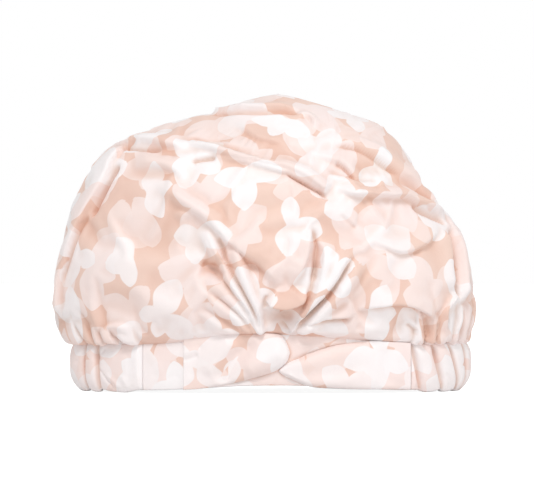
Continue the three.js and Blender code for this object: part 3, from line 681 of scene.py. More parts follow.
# Folds raise the cloth along its normals by h·exp(−(s/width)^crisp), s being the distance to the line,
# and carry their ridges over to one side; where several meet, their fourth powers add. Valleys, sharper at
# their bottom, and swells are added to that.
def foldedCloth(points, normals):
    inSight = normals[:, 1] < drape["front"]
    raised, carried = np.zeros(len(points)), np.zeros_like(points)
    for height, leftWidth, rightWidth, hang, rises, dies, grow, crisp, pixels in folds.values():
        spots = ontoFront(*fromPhoto(pixels), points, inSight)
        line, lineNormals = (splineThrough(values[spots], drape["foldSteps"]) for values in (points, normals))
        left = unit(np.cross(lineNormals, np.gradient(line, axis=0)))
        line = line + left * hang
        reach = drape["sharpReach" if crisp < drape["sharp"] else "foldReach"] * grow
        near, distance, step, share, away = besideLine(points, line, reach * max(leftWidth, rightWidth))
        side = np.einsum("nd,nd->n", away, left[step]) >= 0
        width = np.where(side, leftWidth, rightWidth) * (1 + (grow - 1) * share)
        profile = np.exp(-((np.sqrt(distance**2 + drape["foldBlunt"]) / width) ** crisp))
        profile *= fade(share, (rises, dies))
        raised[near] += (height * profile) ** 4
        carried[near] -= left[step] * (hang * profile)[:, None]
    raised = raised ** (1 / 4)
    for pixels, depth, width in valleys:
        spots = ontoFront(*fromPhoto(pixels), points, inSight)
        line = splineThrough(points[spots], drape["valleySteps"])
        near, distance, _, share, _ = besideLine(points, line, drape["valleyReach"] * width)
        blunt = np.sqrt(distance**2 + drape["valleyBlunt"])
        profile = np.exp(-((blunt / width) ** drape["valleyCrisp"]))
        raised[near] -= depth * profile * fade(share, drape["valleyEnds"])
    inFront = smoothStep(0.0, drape["swellStart"], -normals[:, 1])
    for middle, radii, height in swells:
        x, z = fromPhoto(middle)
        a = (points[:, 0] - x) / (radii[0] * pixelSize)
        b = (points[:, 2] - z) / (radii[1] * pixelSize)
        raised += height * np.exp(-(a**2) - b**2) * inFront
    return raised, carried


# Short low ridges, mostly running up the cap: h·exp(−(a/half length)²−(b/width)²), slightly bent.
def smallWrinkles(points, normals):
    rng = np.random.default_rng(wrinkles["seed"])
    total = np.zeros(len(points))
    for _ in range(wrinkles["count"]):
        home = rng.integers(len(points))
        centre, normal = points[home], normals[home]
        up = np.array([rng.normal(0, wrinkles["turn"]), rng.normal(0, wrinkles["turn"]), 1.0])
        along = up - normal * (up @ normal)
        along /= np.linalg.norm(along) + 1e-9
        across = np.cross(normal, along)
        high, wide, long = (rng.uniform(*wrinkles[key]) for key in ("height", "width", "length"))
        away = points - centre
        a = away @ along
        b = away @ across - rng.uniform(-wrinkles["bend"], wrinkles["bend"]) * a**2
        ridge = high * np.exp(-((a / (0.5 * long)) ** 2) - (b / wide) ** 2)
        total += (np.abs(away @ normal) < wrinkles["depth"]) * ridge
    return total


slack = {
    "every": 2, "frames": 12, "limit": 5.0, "levels": 40,  # mm that a point may move, and steps of holding
    "cloth": {"quality": 5, "mass": 0.02, "tension_stiffness": 20.0, "compression_stiffness": 20.0,
              "shear_stiffness": 8.0, "bending_stiffness": 5.0, "air_damping": 2.0, "shrink_min": -0.04,
              "pin_stiffness": 0.9},  # a shrink below zero is growth
    "least": 0.1, "behind": 0.2, "behindTurn": (-0.2, 0.3), "crest": 0.93, "crestRises": (0.66, 0.86),
    "seamReach": (6, 1), "fixedBelow": 0.5, "fixedFrom": 0.985,  # mm above the band, and a rise
    "firm": [((280, 312), 34, 40, 0.5), ((368, 150), 32, 20, 0.35)],  # pixel, two radii in mm and how much
    "smooth": (1, 1), "swelling": (9, 14),  # rows and columns of the means that cut off short and long waves
}


# Puts new lines between those of a grid, each the cubic mean (−1, 9, 9, −1)/16 of the lines about it.
def doubled(lines, before, after):
    wide = np.concatenate([before, lines, after])
    between = (9 * (wide[1:-2] + wide[2:-1]) - wide[:-3] - wide[3:]) / 16
    result = np.empty((len(lines) + len(between), *lines.shape[1:]))
    result[::2], result[1::2] = lines, between
    return result


# Slackens the cloth in a short cloth simulation without gravity: a copy with every second row and column
# grows a few percent and buckles, while soft springs hold it to its place, stiffer where "held" is
# near one. Returns how far each point of the whole grid moves.
def slackenCloth(grid, held):
    every = slack["every"]
    coarse, firm = grid[::every, ::every], held[::every, ::every]
    rows, columns = firm.shape
    piece = addMesh("slack_cloth", coarse, gridFaces(rows, columns, closedColumns=True))
    group = piece.vertex_groups.new(name="held")
    level = np.round(firm.ravel() * slack["levels"]).astype(int)
    for step in np.unique(level):
        group.add(np.nonzero(level == step)[0].tolist(), max(step, 1) / slack["levels"], "REPLACE")
    modifier = piece.modifiers.new("slack", "CLOTH")
    settings = modifier.settings
    for key, value in slack["cloth"].items():
        setattr(settings, key, value)
    settings.effector_weights.gravity = 0
    settings.vertex_group_mass = "held"
    modifier.collision_settings.use_collision = False
    modifier.point_cache.frame_start = 1
    modifier.point_cache.frame_end = slack["frames"]
    for number in range(1, slack["frames"] + 1):
        bpy.context.scene.frame_set(number)
    settled = piece.evaluated_get(bpy.context.evaluated_depsgraph_get()).to_mesh()
    places = np.empty(len(settled.vertices) * 3, np.float32)
    settled.vertices.foreach_get("co", places)
    bpy.context.scene.frame_set(1)
    bpy.data.objects.remove(piece)
    moved = places.reshape(rows, columns, 3) / toMetres - coarse
    size = np.linalg.norm(moved, axis=-1, keepdims=True)
    print("cloth slackened, mean and largest move in mm:", *np.round([size.mean(), size.max()], 2))
    moved *= slack["limit"] / np.maximum(size, slack["limit"])
    moved = moved.swapaxes(0, 1)
    moved = doubled(moved, moved[-1:], moved[:2]).swapaxes(0, 1)
    return doubled(moved, moved[:1], moved[-1:])


# Mean over a window of the grid, taken twice: columns run round, and the edge rows repeat.
def blurGrid(values, reachRows, reachColumns):
    for _ in range(2):
        for axis, reach, mode in ((0, reachRows, "edge"), (1, reachColumns, "wrap")):
            pad = [(reach + 1, reach) if k == axis else (0, 0) for k in range(values.ndim)]
            total = np.cumsum(np.pad(values, pad, mode=mode), axis=axis)
            size = values.shape[axis]
            upper = np.take(total, np.arange(2 * reach + 1, 2 * reach + 1 + size), axis=axis)
            values = (upper - np.take(total, np.arange(size), axis=axis)) / (2 * reach + 1)
    return values


# Draws the outermost cloth in or out, so that seen from the front its outline keeps to the crown's:
# in each slice the widest cloth goes to the widest place of the smooth crown.
def keepOutline(moved, base, across, along, side):
    thick = crown["outlineSlice"]
    slices = np.arange(base[:, along].min(), base[:, along].max() + thick, thick)
    middle = (base[:, across].min() + base[:, across].max()) / 2
    widest = []
    for points in (base, moved):
        away = side * (points[:, across] - middle)
        place = np.clip(np.digitize(points[:, along], slices) - 1, 0, len(slices) - 1)
        most = np.zeros(len(slices))
        np.maximum.at(most, place, away)
        widest.append(most)
    wanted, current = (np.convolve(np.pad(row, 2, mode="edge"), np.ones(5) / 5, "valid") for row in widest)
    away = side * (moved[:, across] - middle)
    reach = np.interp(moved[:, along], slices + thick / 2, current)
    change = np.interp(moved[:, along], slices + thick / 2, wanted - current)
    moved[:, across] += side * change * smoothStep(*crown["outlineShares"], away / np.maximum(reach, 1.0))


def crownGrid():
    share = np.arange(crown["columns"]) / crown["columns"]
    angle = -np.pi / 2 + 2 * np.pi * share - crown["frontCrowding"] * np.sin(2 * np.pi * share)
    rise = (np.arange(crown["rows"]) / crown["rows"]) ** crown["rowCrowding"]
    angle, rise = np.meshgrid(angle, rise)
    base = crownBase(angle, rise)
    normals = gridNormals(np.concatenate([base[:, -2:], base, base[:, :2]], 1))[:, 2:-2]
    return angle, rise, base, normals


# Adds the cloth's rows and a closing point at the crest; the lowest rows are given first.
def addDome(name, rows, crest):
    grid = np.vstack(rows)
    columns = len(rows[-1])
    total = len(grid) // columns
    last, pole = (total - 1) * columns, total * columns
    faces = gridFaces(total, columns, closedColumns=True)
    faces += [[last + k, last + (k + 1) % columns, pole] for k in range(columns)]
    return addMesh(name, np.vstack([grid, crest]), faces)


# How firmly each point is held while the cloth slackens: fully along the band and the crest, and more
# behind, towards the crest and by h·exp(−(distance/radii)⁴) about the firm places than elsewhere.
def heldShare(points, normals, rise, above):
    knot = 0
    for spot, wide, tall, firm in slack["firm"]:
        x, z = fromPhoto(spot)
        near = ((points[:, 0] - x) / wide) ** 2 + ((points[:, 2] - z) / tall) ** 2
        knot = knot + firm * np.exp(-(near**2)) * (normals[:, 1] < 0)
    crestward = slack["crest"] * smoothStep(*slack["crestRises"], rise)
    back = slack["behind"] * smoothStep(*slack["behindTurn"], normals[:, 1])
    seam = smoothStep(*slack["seamReach"], above)
    held = np.clip(slack["least"] + back + knot + crestward + seam, 0, 1)
    return np.where((above < slack["fixedBelow"]) | (rise > slack["fixedFrom"]), 1, held)


# Also returns its depth under the smooth shape.
def buildCrown():
    columns, rows = crown["columns"], crown["rows"]
    angle, rise, base, normals = crownGrid()
    points, normals, angle, rise = base.reshape(-1, 3), normals.reshape(-1, 3), angle.ravel(), rise.ravel()
    above = np.maximum(points[:, 2] - bandTop(angle) - crown["lift"], 0)
    raised, carried = foldedCloth(points, normals)
    gathered, full, toCrease = gatherTubes(crownGathers, arcFromRight(angle), above)
    behind = arcFromRight(angle) < crownGathers[0][-1]
    crease = crown["creaseDepth"] * np.exp(-toCrease / crown["creaseWidth"] - above / crown["creaseReach"])
    raised += crown["gatherShare"] * gathered - crease * behind
    raised += smallWrinkles(points, normals)
    starts = smoothStep(0, crown["foldsFrom"], above) * smoothStep(1.0, crown["foldsUpTo"], rise)
    roll = np.exp(-(((above - crown["rollMiddle"]) / crown["seamRollHeight"]) ** 2))
    roll *= smoothStep(0, crown["rollStart"], above)
    roll *= np.where(behind, crown["creaseRollShare"] + full, crown["frontRollShare"])
    outward = raised * starts + crown["seamRoll"] * roll
    moved = points + normals * outward[:, None] + carried * starts[:, None]
    scallop = np.where(behind, crown["scallop"] * (crown["scallopFull"] - full), 0)
    moved[:, 2] += scallop * np.exp(-((above / crown["scallopReach"]) ** 2))
    held = heldShare(points, normals, rise, above)
    slacken = slackenCloth(moved.reshape(rows, columns, 3), held.reshape(rows, columns))
    slacken = blurGrid(slacken, *slack["smooth"]) - blurGrid(slacken, *slack["swelling"])
    moved = moved + slacken.reshape(-1, 3) * starts[:, None]
    for across, along, side in ((0, 2, -1), (0, 2, 1), (2, 0, 1)):
        keepOutline(moved, points, across, along, side)
    hem = [ringPoint(angle[:columns], out, moved[:columns, 2] - down) for out, down in crown["hem"]]
    crest = crownBase(np.array([0.0]), np.array([1.0]))
    piece = addDome("crown_cloth", [*hem, *moved.reshape(rows, columns, 3)], crest)
    unfolded = np.vstack([*hem, points, crest])
    unfoldedNormals = np.vstack([normals[:columns]] * len(hem) + [normals, [[0, 0, 1]]])
    printLeaves(piece, unfolded, unfoldedNormals, onCrown=True)
    # Painted shade: the "crease" attribute darkens the cloth where it lies deeper than the cloth about it,
    # and where it lies deep under the smooth shape.
    depth = np.einsum("nd,nd->n", moved - points, normals).reshape(rows, columns)
    around = blurGrid(depth, crown["dipWindow"], crown["dipWindow"])
    paintedShade = np.clip((around - depth) / crown["dipDepth"], 0, 1)
    paintedShade += np.clip(-depth / crown["pitDepth"], 0, crown["pitShade"])
    paintedShade = np.clip(paintedShade, 0, 1).ravel()
    addAttribute(piece, "crease", np.concatenate([np.zeros(len(hem) * columns), paintedShade, [0]]))
    return piece, depth


lining = {
    "every": 3, "inside": 2.0, "reach": 5, "hem": 4.0,
    "ripple": 0.5, "waves": (0.21, 0.05, 0.17, 0.06),  # radians per mm
}


# Least value within a window of the grid; columns run round.
def windowMin(values, reach):
    least = values
    for k in range(-reach, reach + 1):
        least = np.minimum(least, np.roll(values, k, axis=1))
    padded = np.pad(least, ((reach, reach), (0, 0)), mode="edge")
    return np.min([padded[k:k + len(values)] for k in range(2 * reach + 1)], axis=0)


# The lining keeps inside the deepest places of the crown nearby and ripples a little of its own.
def buildLining(crownDepth):
    every = lining["every"]
    angle, _, base, normals = (values[::every, ::every] for values in crownGrid())
    deepest = windowMin(crownDepth, lining["reach"])[::every, ::every]
    x, y, z = base[..., 0], base[..., 1], base[..., 2]
    a, b, c, d = lining["waves"]
    ripple = np.sin(x * a + 3 * np.sin(z * b)) * np.sin(y * c + z * d)
    inward = lining["inside"] - np.minimum(deepest, 0) + lining["ripple"] * (1 + ripple)
    moved = base - normals * inward[..., None]
    hem = ringPoint(angle[0], -lining["hem"], bandTop(angle[0]) - lining["hem"])
    crest = crownBase(np.array([0.0]), np.array([1.0])) - [0, 0, float(inward[-1].mean())]
    piece = addDome("lining_cloth", [hem, *moved], crest)
    piece.data.flip_normals()
    return piece


# Distance in mm of each x and z to a line given in pixels, and the share of that line.
def toLine(x, z, line, count=40):
    chain = np.stack(fromPhoto(splineThrough(line, count)), 1)
    distance, _, share, _ = nearestOnChain(np.stack([x.ravel(), z.ravel()], 1), chain)
    return distance.reshape(x.shape), share.reshape(x.shape)


# Sum of low ridges and troughs drawn on the band, each h·exp(−(distance/width)²), faded at its ends.
def drawnRidges(x, z, lines, ends=(0.2, 0.2)):
    total = np.zeros(x.shape)
    for line, high, wide in lines:
        distance, share = toLine(x, z, line)
        total += high * np.exp(-((distance / wide) ** 2)) * fade(share, ends)
    return total


# A flat folded strip round the band: up its outer face, over the top, down its inner face and under, with
# half-round edges. It has one section for each angle, and on its outer face one row for each of "outer".
def stripSections(strip, angle, low, high, outer, inner, tucked=False):
    t, edge = np.linspace(0, 1, len(outer))[:, None], strip["edge"]
    high = high + 0 * angle
    level = low + edge + (high - low - 2 * edge) * t
    down = level[np.linspace(len(outer) - 1, 0, strip["innerRows"]).round().astype(int)]
    turn = np.linspace(0, np.pi, 7)[1:-1, None]
    over = (outer[-1] + inner) / 2 + (outer[-1] - inner) / 2 * np.cos(turn)
    under = (outer[0] + inner) / 2 - (outer[0] - inner) / 2 * np.cos(turn)
    outward = np.concatenate([outer, over, np.broadcast_to(inner, down.shape), under])
    z = np.concatenate([level, high - edge + edge * np.sin(turn), down, low + edge - edge * np.sin(turn)])
    if tucked:
        outward = outward + tuckIn(angle, z)
    return ringPoint(angle, outward, z).transpose(1, 0, 2)


# Painted shade in the creases on the outer face of a strip: most·exp(−(distance/width)²).
def paintCreaseShade(piece, sections, distance, width, most=1.0):
    crease = np.zeros(sections.shape[:2])
    crease[:, :len(distance)] = most * np.exp(-((distance / width) ** 2)).T
    addAttribute(piece, "crease", crease.ravel())


towardsFront = np.array([0.0, -1.0, 0.0])

band = {
    "thickness": 2.4, "outerRows": 34, "innerRows": 12, "columns": 230, "edge": 1.1, "pillow": 0.5,
    "creaseWidth": 1.3, "seed": 40,
    "ridges": [  # pixels along each, height and width in mm
        ([(146, 344), (158, 360), (165, 384)], 0.35, 3.0), ([(184, 345), (170, 366), (160, 386)], 0.3, 3.5),
        ([(290, 341), (312, 343), (330, 340)], 0.4, 2.0), ([(150, 372), (168, 376), (184, 372)], -0.3, 2.5),
        ([(288, 358), (303, 353), (326, 346), (350, 341)], -0.9, 1.8),
        ([(226, 384), (250, 378), (274, 371)], -0.7, 1.8),
    ],
}


# The flat band: over its height its face swells by h·(1−(2t−1)⁴). Painted shade darkens it beside the twist's
# folds.
def buildBand():
    angle = np.linspace(leftSeamAngle, rightSeamAngle, band["columns"])
    t = np.linspace(0, 1, band["outerRows"])[:, None]
    low, high = bandBottom(angle), bandTop(angle)
    level = low + (high - low) * t
    x = np.broadcast_to(ringX(angle), level.shape)
    outer = band["pillow"] * (1 - (2 * t - 1) ** 4) + drawnRidges(x, level, band["ridges"])
    sections = stripSections(band, angle, low, high, outer, -band["thickness"])
    piece = addStrip("band_cloth", sections)
    # Painted shade along the wraps' folded edges, where they lie over the band.
    beside = np.minimum(*(toLine(x, level, wrap["folded"], count=80)[0] for wrap in wraps.values()))
    paintCreaseShade(piece, sections, beside, band["creaseWidth"])
    printLeaves(piece, sections, towardsFront, seed=band["seed"])
    return piece


facing = {
    "outer": -2.7, "thickness": 0.9, "hem": 2.0, "edge": 0.4, "columns": 160, "rows": 16, "innerRows": 12,
    "ripple": 0.25, "ripples": 40,
}


def buildFacing():
    angle = np.linspace(leftSeamAngle, rightSeamAngle, facing["columns"])
    outer = np.full((facing["rows"], len(angle)), facing["outer"])
    inner = facing["outer"] - facing["thickness"] - facing["ripple"] * np.sin(angle * facing["ripples"]) ** 2
    low, high = bandBottom(angle) + facing["hem"], bandTop(angle) - facing["hem"]
    sections = stripSections(facing, angle, low, high, outer, inner)
    return addStrip("facing_cloth", sections)


# The turban's twist is two wraps: each is a patch of the front between an upper and a lower line, in
# pixels, that is folded over along "folded" and sewn into the seams elsewhere. It stands off the band
# by its puff, and rolls in over "roll" mm towards its fold.
wraps = {
    "left_wrap": {
        "upper": [(185, 335), (215, 333), (245, 331.5), (268, 331), (281, 333), (286, 340), (289, 348)],
        "lower": [(185, 387), (200, 386), (214, 384), (227, 381.5), (245, 377.5), (262, 373), (277, 367.5),
                  (286, 360), (289.5, 351)],
        "folded": [(206, 386), (214, 384), (227, 381.5), (245, 377.5), (262, 373), (277, 367.5), (286, 360),
                   (289.5, 351), (287, 342), (283, 335)],
        "puff": [0.2, 1.0, 2.2, 3.2, 3.8, 3.4], "roll": 3.4, "seed": 41,
        "ridges": [
            ([(284, 346), (265, 358), (244, 370)], 2.4, 5.0),
            ([(256, 336), (240, 352), (226, 372), (218, 382)], -3.4, 4.4),
            ([(236, 336), (222, 350), (206, 374)], 2.2, 4.5),
            ([(183, 358), (192, 356), (200, 352)], -0.9, 1.3),
            ([(183, 352), (192, 350), (202, 347)], 0.7, 2.0),
            ([(204, 338), (196, 356), (192, 378)], -0.6, 3.5),
            ([(250, 336), (236, 348)], 0.5, 2.4),
        ],
    },
    "right_wrap": {
        "upper": [(278.5, 368), (287, 360.5), (300, 355), (307, 351.5), (328, 344.5), (347, 341), (370, 339),
                  (390, 340), (408.3, 341)],
        "lower": [(279.5, 370), (286, 374), (296, 378.5), (306, 383), (320, 385), (350, 386.5), (380, 387),
                  (408.3, 387.5)],
        "folded": [(362, 340), (347, 341), (328, 344.5), (307, 351.5), (300, 355), (287, 360.5), (278.5, 368),
                   (286, 374), (296, 378.5), (306, 383), (320, 385), (350, 386.5), (380, 387), (408, 387.5)],
        "puff": [1.8, 3.3, 3.4, 2.8, 2.0, 1.1, 0.4], "roll": 2.4, "seed": 43,
        "ridges": [
            ([(290, 366), (310, 360), (335, 352), (362, 347)], 0.9, 4.0),
            ([(292, 372), (318, 372), (345, 368), (370, 360)], -0.8, 4.0),
            ([(304, 378), (330, 379), (360, 376)], 0.6, 3.5),
            ([(384, 344), (383, 362), (387, 384)], -0.9, 3.0),
            ([(396, 344), (395, 365), (398, 384)], 0.6, 3.2),
            ([(366, 346), (372, 364), (374, 384)], 0.5, 3.6),
            ([(286, 370), (293, 375), (300, 379)], 0.6, 1.6),
        ],
    },
}


wrapShape = {
    "columns": 150, "outerRows": 44, "innerRows": 14,
    "back": 0.25, "edge": 0.3, "least": 1.0, "rounding": 0.75,  # mm off the band
}


# One half of the twist. Towards its fold the face rolls in by √(1−(1−distance/roll)²).
def buildWrap(name):
    wrap, columns, rows = wraps[name], wrapShape["columns"], wrapShape["outerRows"]
    upper, lower = (np.stack(fromPhoto(splineThrough(wrap[key], columns)), 1) for key in ("upper", "lower"))
    t = np.linspace(0, 1, rows)[:, None, None]
    face = lower + (upper - lower) * t
    x, z = face[..., 0], face[..., 1]
    away, _ = toLine(x, z, wrap["folded"], count=80)
    rolled = np.sqrt(1 - (1 - np.clip(away / wrap["roll"], 0, 1)) ** 2)
    puff = np.interp(np.linspace(0, 1, columns), np.linspace(0, 1, len(wrap["puff"])), wrap["puff"])
    rounding = 1 - wrapShape["rounding"] * (2 * t[..., 0] - 1) ** 4
    standing = wrapShape["least"] + puff * rounding + drawnRidges(x, z, wrap["ridges"])
    back = face[np.linspace(rows - 1, 0, wrapShape["innerRows"]).round().astype(int)]
    x, z = np.concatenate([x, back[..., 0]]), np.concatenate([z, back[..., 1]])
    inside = np.full(back.shape[:2], wrapShape["back"])
    outward = np.concatenate([wrapShape["edge"] + rolled * standing, inside])
    sections = ringPoint(frontAngle(x), outward, z).transpose(1, 0, 2)
    piece = addStrip(name, sections)
    printLeaves(piece, sections, towardsFront, seed=wrap["seed"])
    return piece


casing = {
    "columns": 880, "outerRows": 36, "innerRows": 14, "inside": -3.6, "edge": 1.3, "puff": 1.3, "seed": 47,
    # The last two on the next line set how dark and how wide the painted shade in the creases is.
    "creaseDepth": 2.7, "creaseWidth": 1.1, "paintedCreaseShade": 0.95, "paintedCreaseShadeWidth": 1.0,
    "tuck": 4.5, "tuckHeight": 15.0, "backRise": 4.2, "backRiseFrom": (0.3, 0.85), "leftTaper": 1.5,
    "gap": 0.004, "ends": 3.0, "flatEnds": 0.15,  # radians, mm and share of the height at the side seams
    "sewnShare": 0.35, "boxiness": 3.2,  # of the gathers' height at the sewn edges, and how soon it is full
    "stand": 0.1, "ridgeShares": (0.82, 0.2),
    "overElastic": 0.35, "lowest": 0.25, "wave": 2.0, "waveFades": (0.5, -0.1), "besideSeams": (2, 14),
    "innerShare": 0.25,
    "fine": [  # small creases seen in front: pixels along each, height and width in mm
        ([(100, 368), (108, 379), (117, 390)], -1.1, 1.1), ([(108, 374), (116, 381), (122, 390)], 0.8, 1.6),
        ([(124, 374), (128, 384), (130, 391)], 0.6, 1.6), ([(108, 344), (103, 352), (100, 360)], -0.7, 1.2),
        ([(130, 346), (133, 366), (131, 384)], -0.5, 2.6), ([(88, 346), (84, 354), (78, 363)], -0.9, 1.1),
        ([(416, 346), (424, 362), (431, 384)], 0.5, 2.4), ([(441, 372), (446, 380), (448, 390)], -0.9, 1.0),
        ([(411, 344), (414, 364), (418, 387)], -1.6, 1.5), ([(430, 344), (434, 364), (441, 388)], -1.6, 1.6),
    ],
}


# How far the casing's lower part leans in at the two ends of the oval: d·(1−z/h)²·|cos|^6.
def tuckIn(angle, z):
    return -casing["tuck"] * np.clip(1 - z / casing["tuckHeight"], 0, 1) ** 2 * np.abs(np.cos(angle)) ** 6


# The band's lower edge rises at the back, so that the photograph shows none of it under the front.
def backLift(angle):
    return casing["backRise"] * smoothStep(*casing["backRiseFrom"], np.sin(angle))


# The angles round the back from the right side seam to the left one, kept apart from both by a gap.
def backAngles(gap, columns):
    return np.linspace(rightSeamAngle + gap, leftSeamAngle + 2 * np.pi - gap, columns)


# Zero at both ends of a length and one between, rising from "near" to "far" mm from them.
def betweenEnds(along, near, far):
    return smoothStep(near, far, along) * (1 - smoothStep(along[-1] - far, along[-1] - near, along))


# The elastic casing: its outer face carries the gathers over its whole height, and its lower edge waves
# with them.
def buildCasing():
    angle = backAngles(casing["gap"], casing["columns"])
    along = arcFromRight(angle)
    t = np.linspace(0, 1, casing["outerRows"])[:, None]
    level = ring["height"] * t + 0 * angle
    endless = np.full(len(casingGathers[1]), 999.0)
    ridges, full, toCrease = gatherTubes((*casingGathers[:3], endless), along, ring["height"] - level)
    middle, edges = casing["ridgeShares"]
    ridges = ridges * (middle + edges * (2 * t - 1) ** 2)
    crease = casing["creaseDepth"] * np.exp(-toCrease / casing["creaseWidth"])
    rounding = 1 - np.abs(2 * t - 1) ** casing["boxiness"]
    share = casing["sewnShare"] + (1 - casing["sewnShare"]) * rounding
    ends = casing["flatEnds"] + (1 - casing["flatEnds"]) * betweenEnds(along, 0, casing["ends"])
    outer = casing["stand"] + (casing["puff"] * rounding + ridges * share) * ends
    outer -= crease * share + casing["leftTaper"] * np.clip(-np.cos(angle), 0, 1) ** 6
    x = np.broadcast_to(ringX(angle), level.shape)
    outer = outer + drawnRidges(x, level, casing["fine"]) * (np.sin(angle) < 0)
    outer = np.maximum(outer, elastic["outer"] + casing["overElastic"])
    beside = betweenEnds(along, *casing["besideSeams"])
    wave = casing["wave"] * (1 - full[0]) * beside * smoothStep(*casing["waveFades"], np.sin(angle))
    low = casing["lowest"] + (ring["bottomRise"] - casing["lowest"]) * (1 - beside) + wave + backLift(angle)
    inner = casing["inside"] - casing["innerShare"] * ridges.mean(0)
    sections = stripSections(casing, angle, low, ring["height"], outer, inner, tucked=True)
    piece = addStrip("casing_cloth", sections)
    # Painted shade along the gathers' creases.
    paintCreaseShade(piece, sections, toCrease, casing["paintedCreaseShadeWidth"], casing["paintedCreaseShade"])
    printLeaves(piece, sections, ringNormal(angle)[:, None], seed=casing["seed"])
    return piece


elastic = {
    "outer": -1.5, "thickness": 1.1, "low": 3.5, "high": 28.5, "edge": 0.4, "gap": 0.02, "liftShare": 0.6,
    "ribs": 12, "ribHeight": 0.12, "rows": 49, "innerRows": 12, "columns": 300,
}


# The elastic inside the casing: a flat strip with raised lengthwise ribs, h·cos² across its width.
def buildElastic():
    angle = backAngles(elastic["gap"], elastic["columns"])
    t = np.linspace(0, 1, elastic["rows"])[:, None]
    ribs = elastic["ribHeight"] * np.cos(np.pi * elastic["ribs"] * t) ** 2
    outer, inner = elastic["outer"] + ribs + 0 * angle, elastic["outer"] - elastic["thickness"]
    low, high = elastic["low"] + elastic["liftShare"] * backLift(angle), elastic["high"]
    sections = stripSections(elastic, angle, low, high, outer, inner, tucked=True)
    return addStrip("elastic_webbing", sections)


binding = {
    "outer": -3.95, "thickness": 0.8, "drop": 6.0, "rise": 4.0, "edge": 0.35, "ripple": 0.18, "ripples": 95,
    "rows": 9, "innerRows": 8, "columns": 420,
}


# The tape that covers the seam allowance inside: a flat loop, puckered a little by its stitches.
def buildBinding():
    angle = np.linspace(0, 2 * np.pi, binding["columns"], endpoint=False)
    outer = np.full((binding["rows"], len(angle)), binding["outer"])
    inner = binding["outer"] - binding["thickness"] - binding["ripple"] * np.sin(angle * binding["ripples"])
    low, high = bandTop(angle) - binding["drop"], bandTop(angle) + binding["rise"]
    sections = stripSections(binding, angle, low, high, outer, inner)
    return addStrip("binding_tape", sections, endless=True)


stitch = {
    "length": 2.3, "gap": 1.0, "radius": 0.22, "sides": 5, "rings": 5, "first": 0.15,
    "ends": 0.08, "sunk": 0.9, "raised": 1.6,  # in radii, under the cloth at its ends and over it between
    "fromTapeEdge": 1.2, "fromFacingEdge": 1.3, "overFacing": 0.1, "fromSeams": 0.02, "steps": 900,
}


# A row of stitches along a path: each is a short thread, sunk at both ends, and its section is a small
# ring that narrows with sin(pi·share) towards them.
def stitchRow(path, normals):
    length = lengthAlong(path)
    count = int(length[-1] / (stitch["length"] + stitch["gap"]))
    starts = (np.arange(count) + stitch["first"]) * length[-1] / count
    along = np.linspace(0, 1, stitch["rings"])
    at = starts[:, None] + along * stitch["length"]
    centre, outwards = (np.stack([np.interp(at, length, values[:, k]) for k in range(3)], -1)
                        for values in (path, normals))
    outwards = unit(outwards)
    across = np.cross(unit(np.gradient(centre, axis=1)), outwards)
    swell = np.sin(np.pi * (stitch["ends"] + (1 - 2 * stitch["ends"]) * along))
    lift = stitch["radius"] * (stitch["raised"] * swell - stitch["sunk"])
    centre = centre + outwards * lift[None, :, None]
    turn = np.arange(stitch["sides"])[:, None] * 2 * np.pi / stitch["sides"]
    radius = stitch["radius"] * (0.5 + 0.5 * swell)[None, :, None, None]
    around = np.cos(turn) * across[:, :, None] + np.sin(turn) * outwards[:, :, None]
    return centre[:, :, None] + radius * around


def addStitches(name, rows):
    threads = np.concatenate([stitchRow(*row) for row in rows])
    one, step = stripFaces(stitch["rings"], stitch["sides"]), stitch["rings"] * stitch["sides"]
    faces = [[corner + k * step for corner in face] for k in range(len(threads)) for face in one]
    return addMesh(name, threads, faces, closed=True)


# A path round the inside of the band, above one of its edges, with the directions that it faces.
def roundRow(outward, edge, rise, start, end):
    angle = np.linspace(start, end, stitch["steps"])
    return ringPoint(angle, outward, edge(angle) + rise), -ringNormal(angle)


crownCloth, crownDepth = buildCrown()
print("crown built")
liningCloth = buildLining(crownDepth)
bandCloth, facingCloth = buildBand(), buildFacing()
leftWrap, rightWrap = buildWrap("left_wrap"), buildWrap("right_wrap")
casingCloth, webbing, tape = buildCasing(), buildElastic(), buildBinding()
tapeStitches = addStitches("tape_stitches", [
    roundRow(binding["outer"] - binding["thickness"], bandTop, rise, 0.0, 2 * np.pi)
    for rise in (stitch["fromTapeEdge"] - binding["drop"], binding["rise"] - stitch["fromTapeEdge"])
])
facingStitches = addStitches("facing_stitches", [
    roundRow(facing["outer"] - facing["thickness"] - stitch["overFacing"], bandBottom,
             facing["hem"] + stitch["fromFacingEdge"],
             leftSeamAngle + stitch["fromSeams"], rightSeamAngle - stitch["fromSeams"]),
])
print("band, lining, tape and stitches built")

# Colour, roughness, sheen and depth of crinkle in metres of each plain cloth.
plainCloths = {
    "waterproof lining": (fromScreen(243, 241, 238), 0.35, 0.05, 0.0004),
    "blush cotton": (fromScreen(245, 226, 219), 0.7, 0.1, 0.0002),
    "bias tape": (fromScreen(246, 228, 221), 0.65, 0.1, 0.0002),
    "braided elastic": (fromScreen(244, 243, 240), 0.8, 0.1, 0.0002),
    "blush thread": (fromScreen(242, 218, 209), 0.6, 0.1, 0.0002),
}
printed = printedCloth("printed cloth")
film, cotton, biasTape, braid, thread = (plainCloth(name, *look) for name, look in plainCloths.items())

pieces = [
    (crownCloth, printed, "printed_fabric", "crown_shell"), (liningCloth, film, "lining", "crown_lining"),
    (bandCloth, printed, "band_fabric", "front_band"), (facingCloth, cotton, "facing", "band_facing"),
    (leftWrap, printed, "band_fabric", "left_twist_wrap"),
    (rightWrap, printed, "band_fabric", "right_twist_wrap"),
    (casingCloth, printed, "band_fabric", "back_casing"), (webbing, braid, "elastic", "elastic_band"),
    (tape, biasTape, "binding", "seam_binding"), (tapeStitches, thread, "binding", None),
    (facingStitches, thread, "binding", None),
]
for piece, material, slot, node in pieces:
    piece.data.materials.append(material)
    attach(piece, "root")
    if node:
        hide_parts(node)
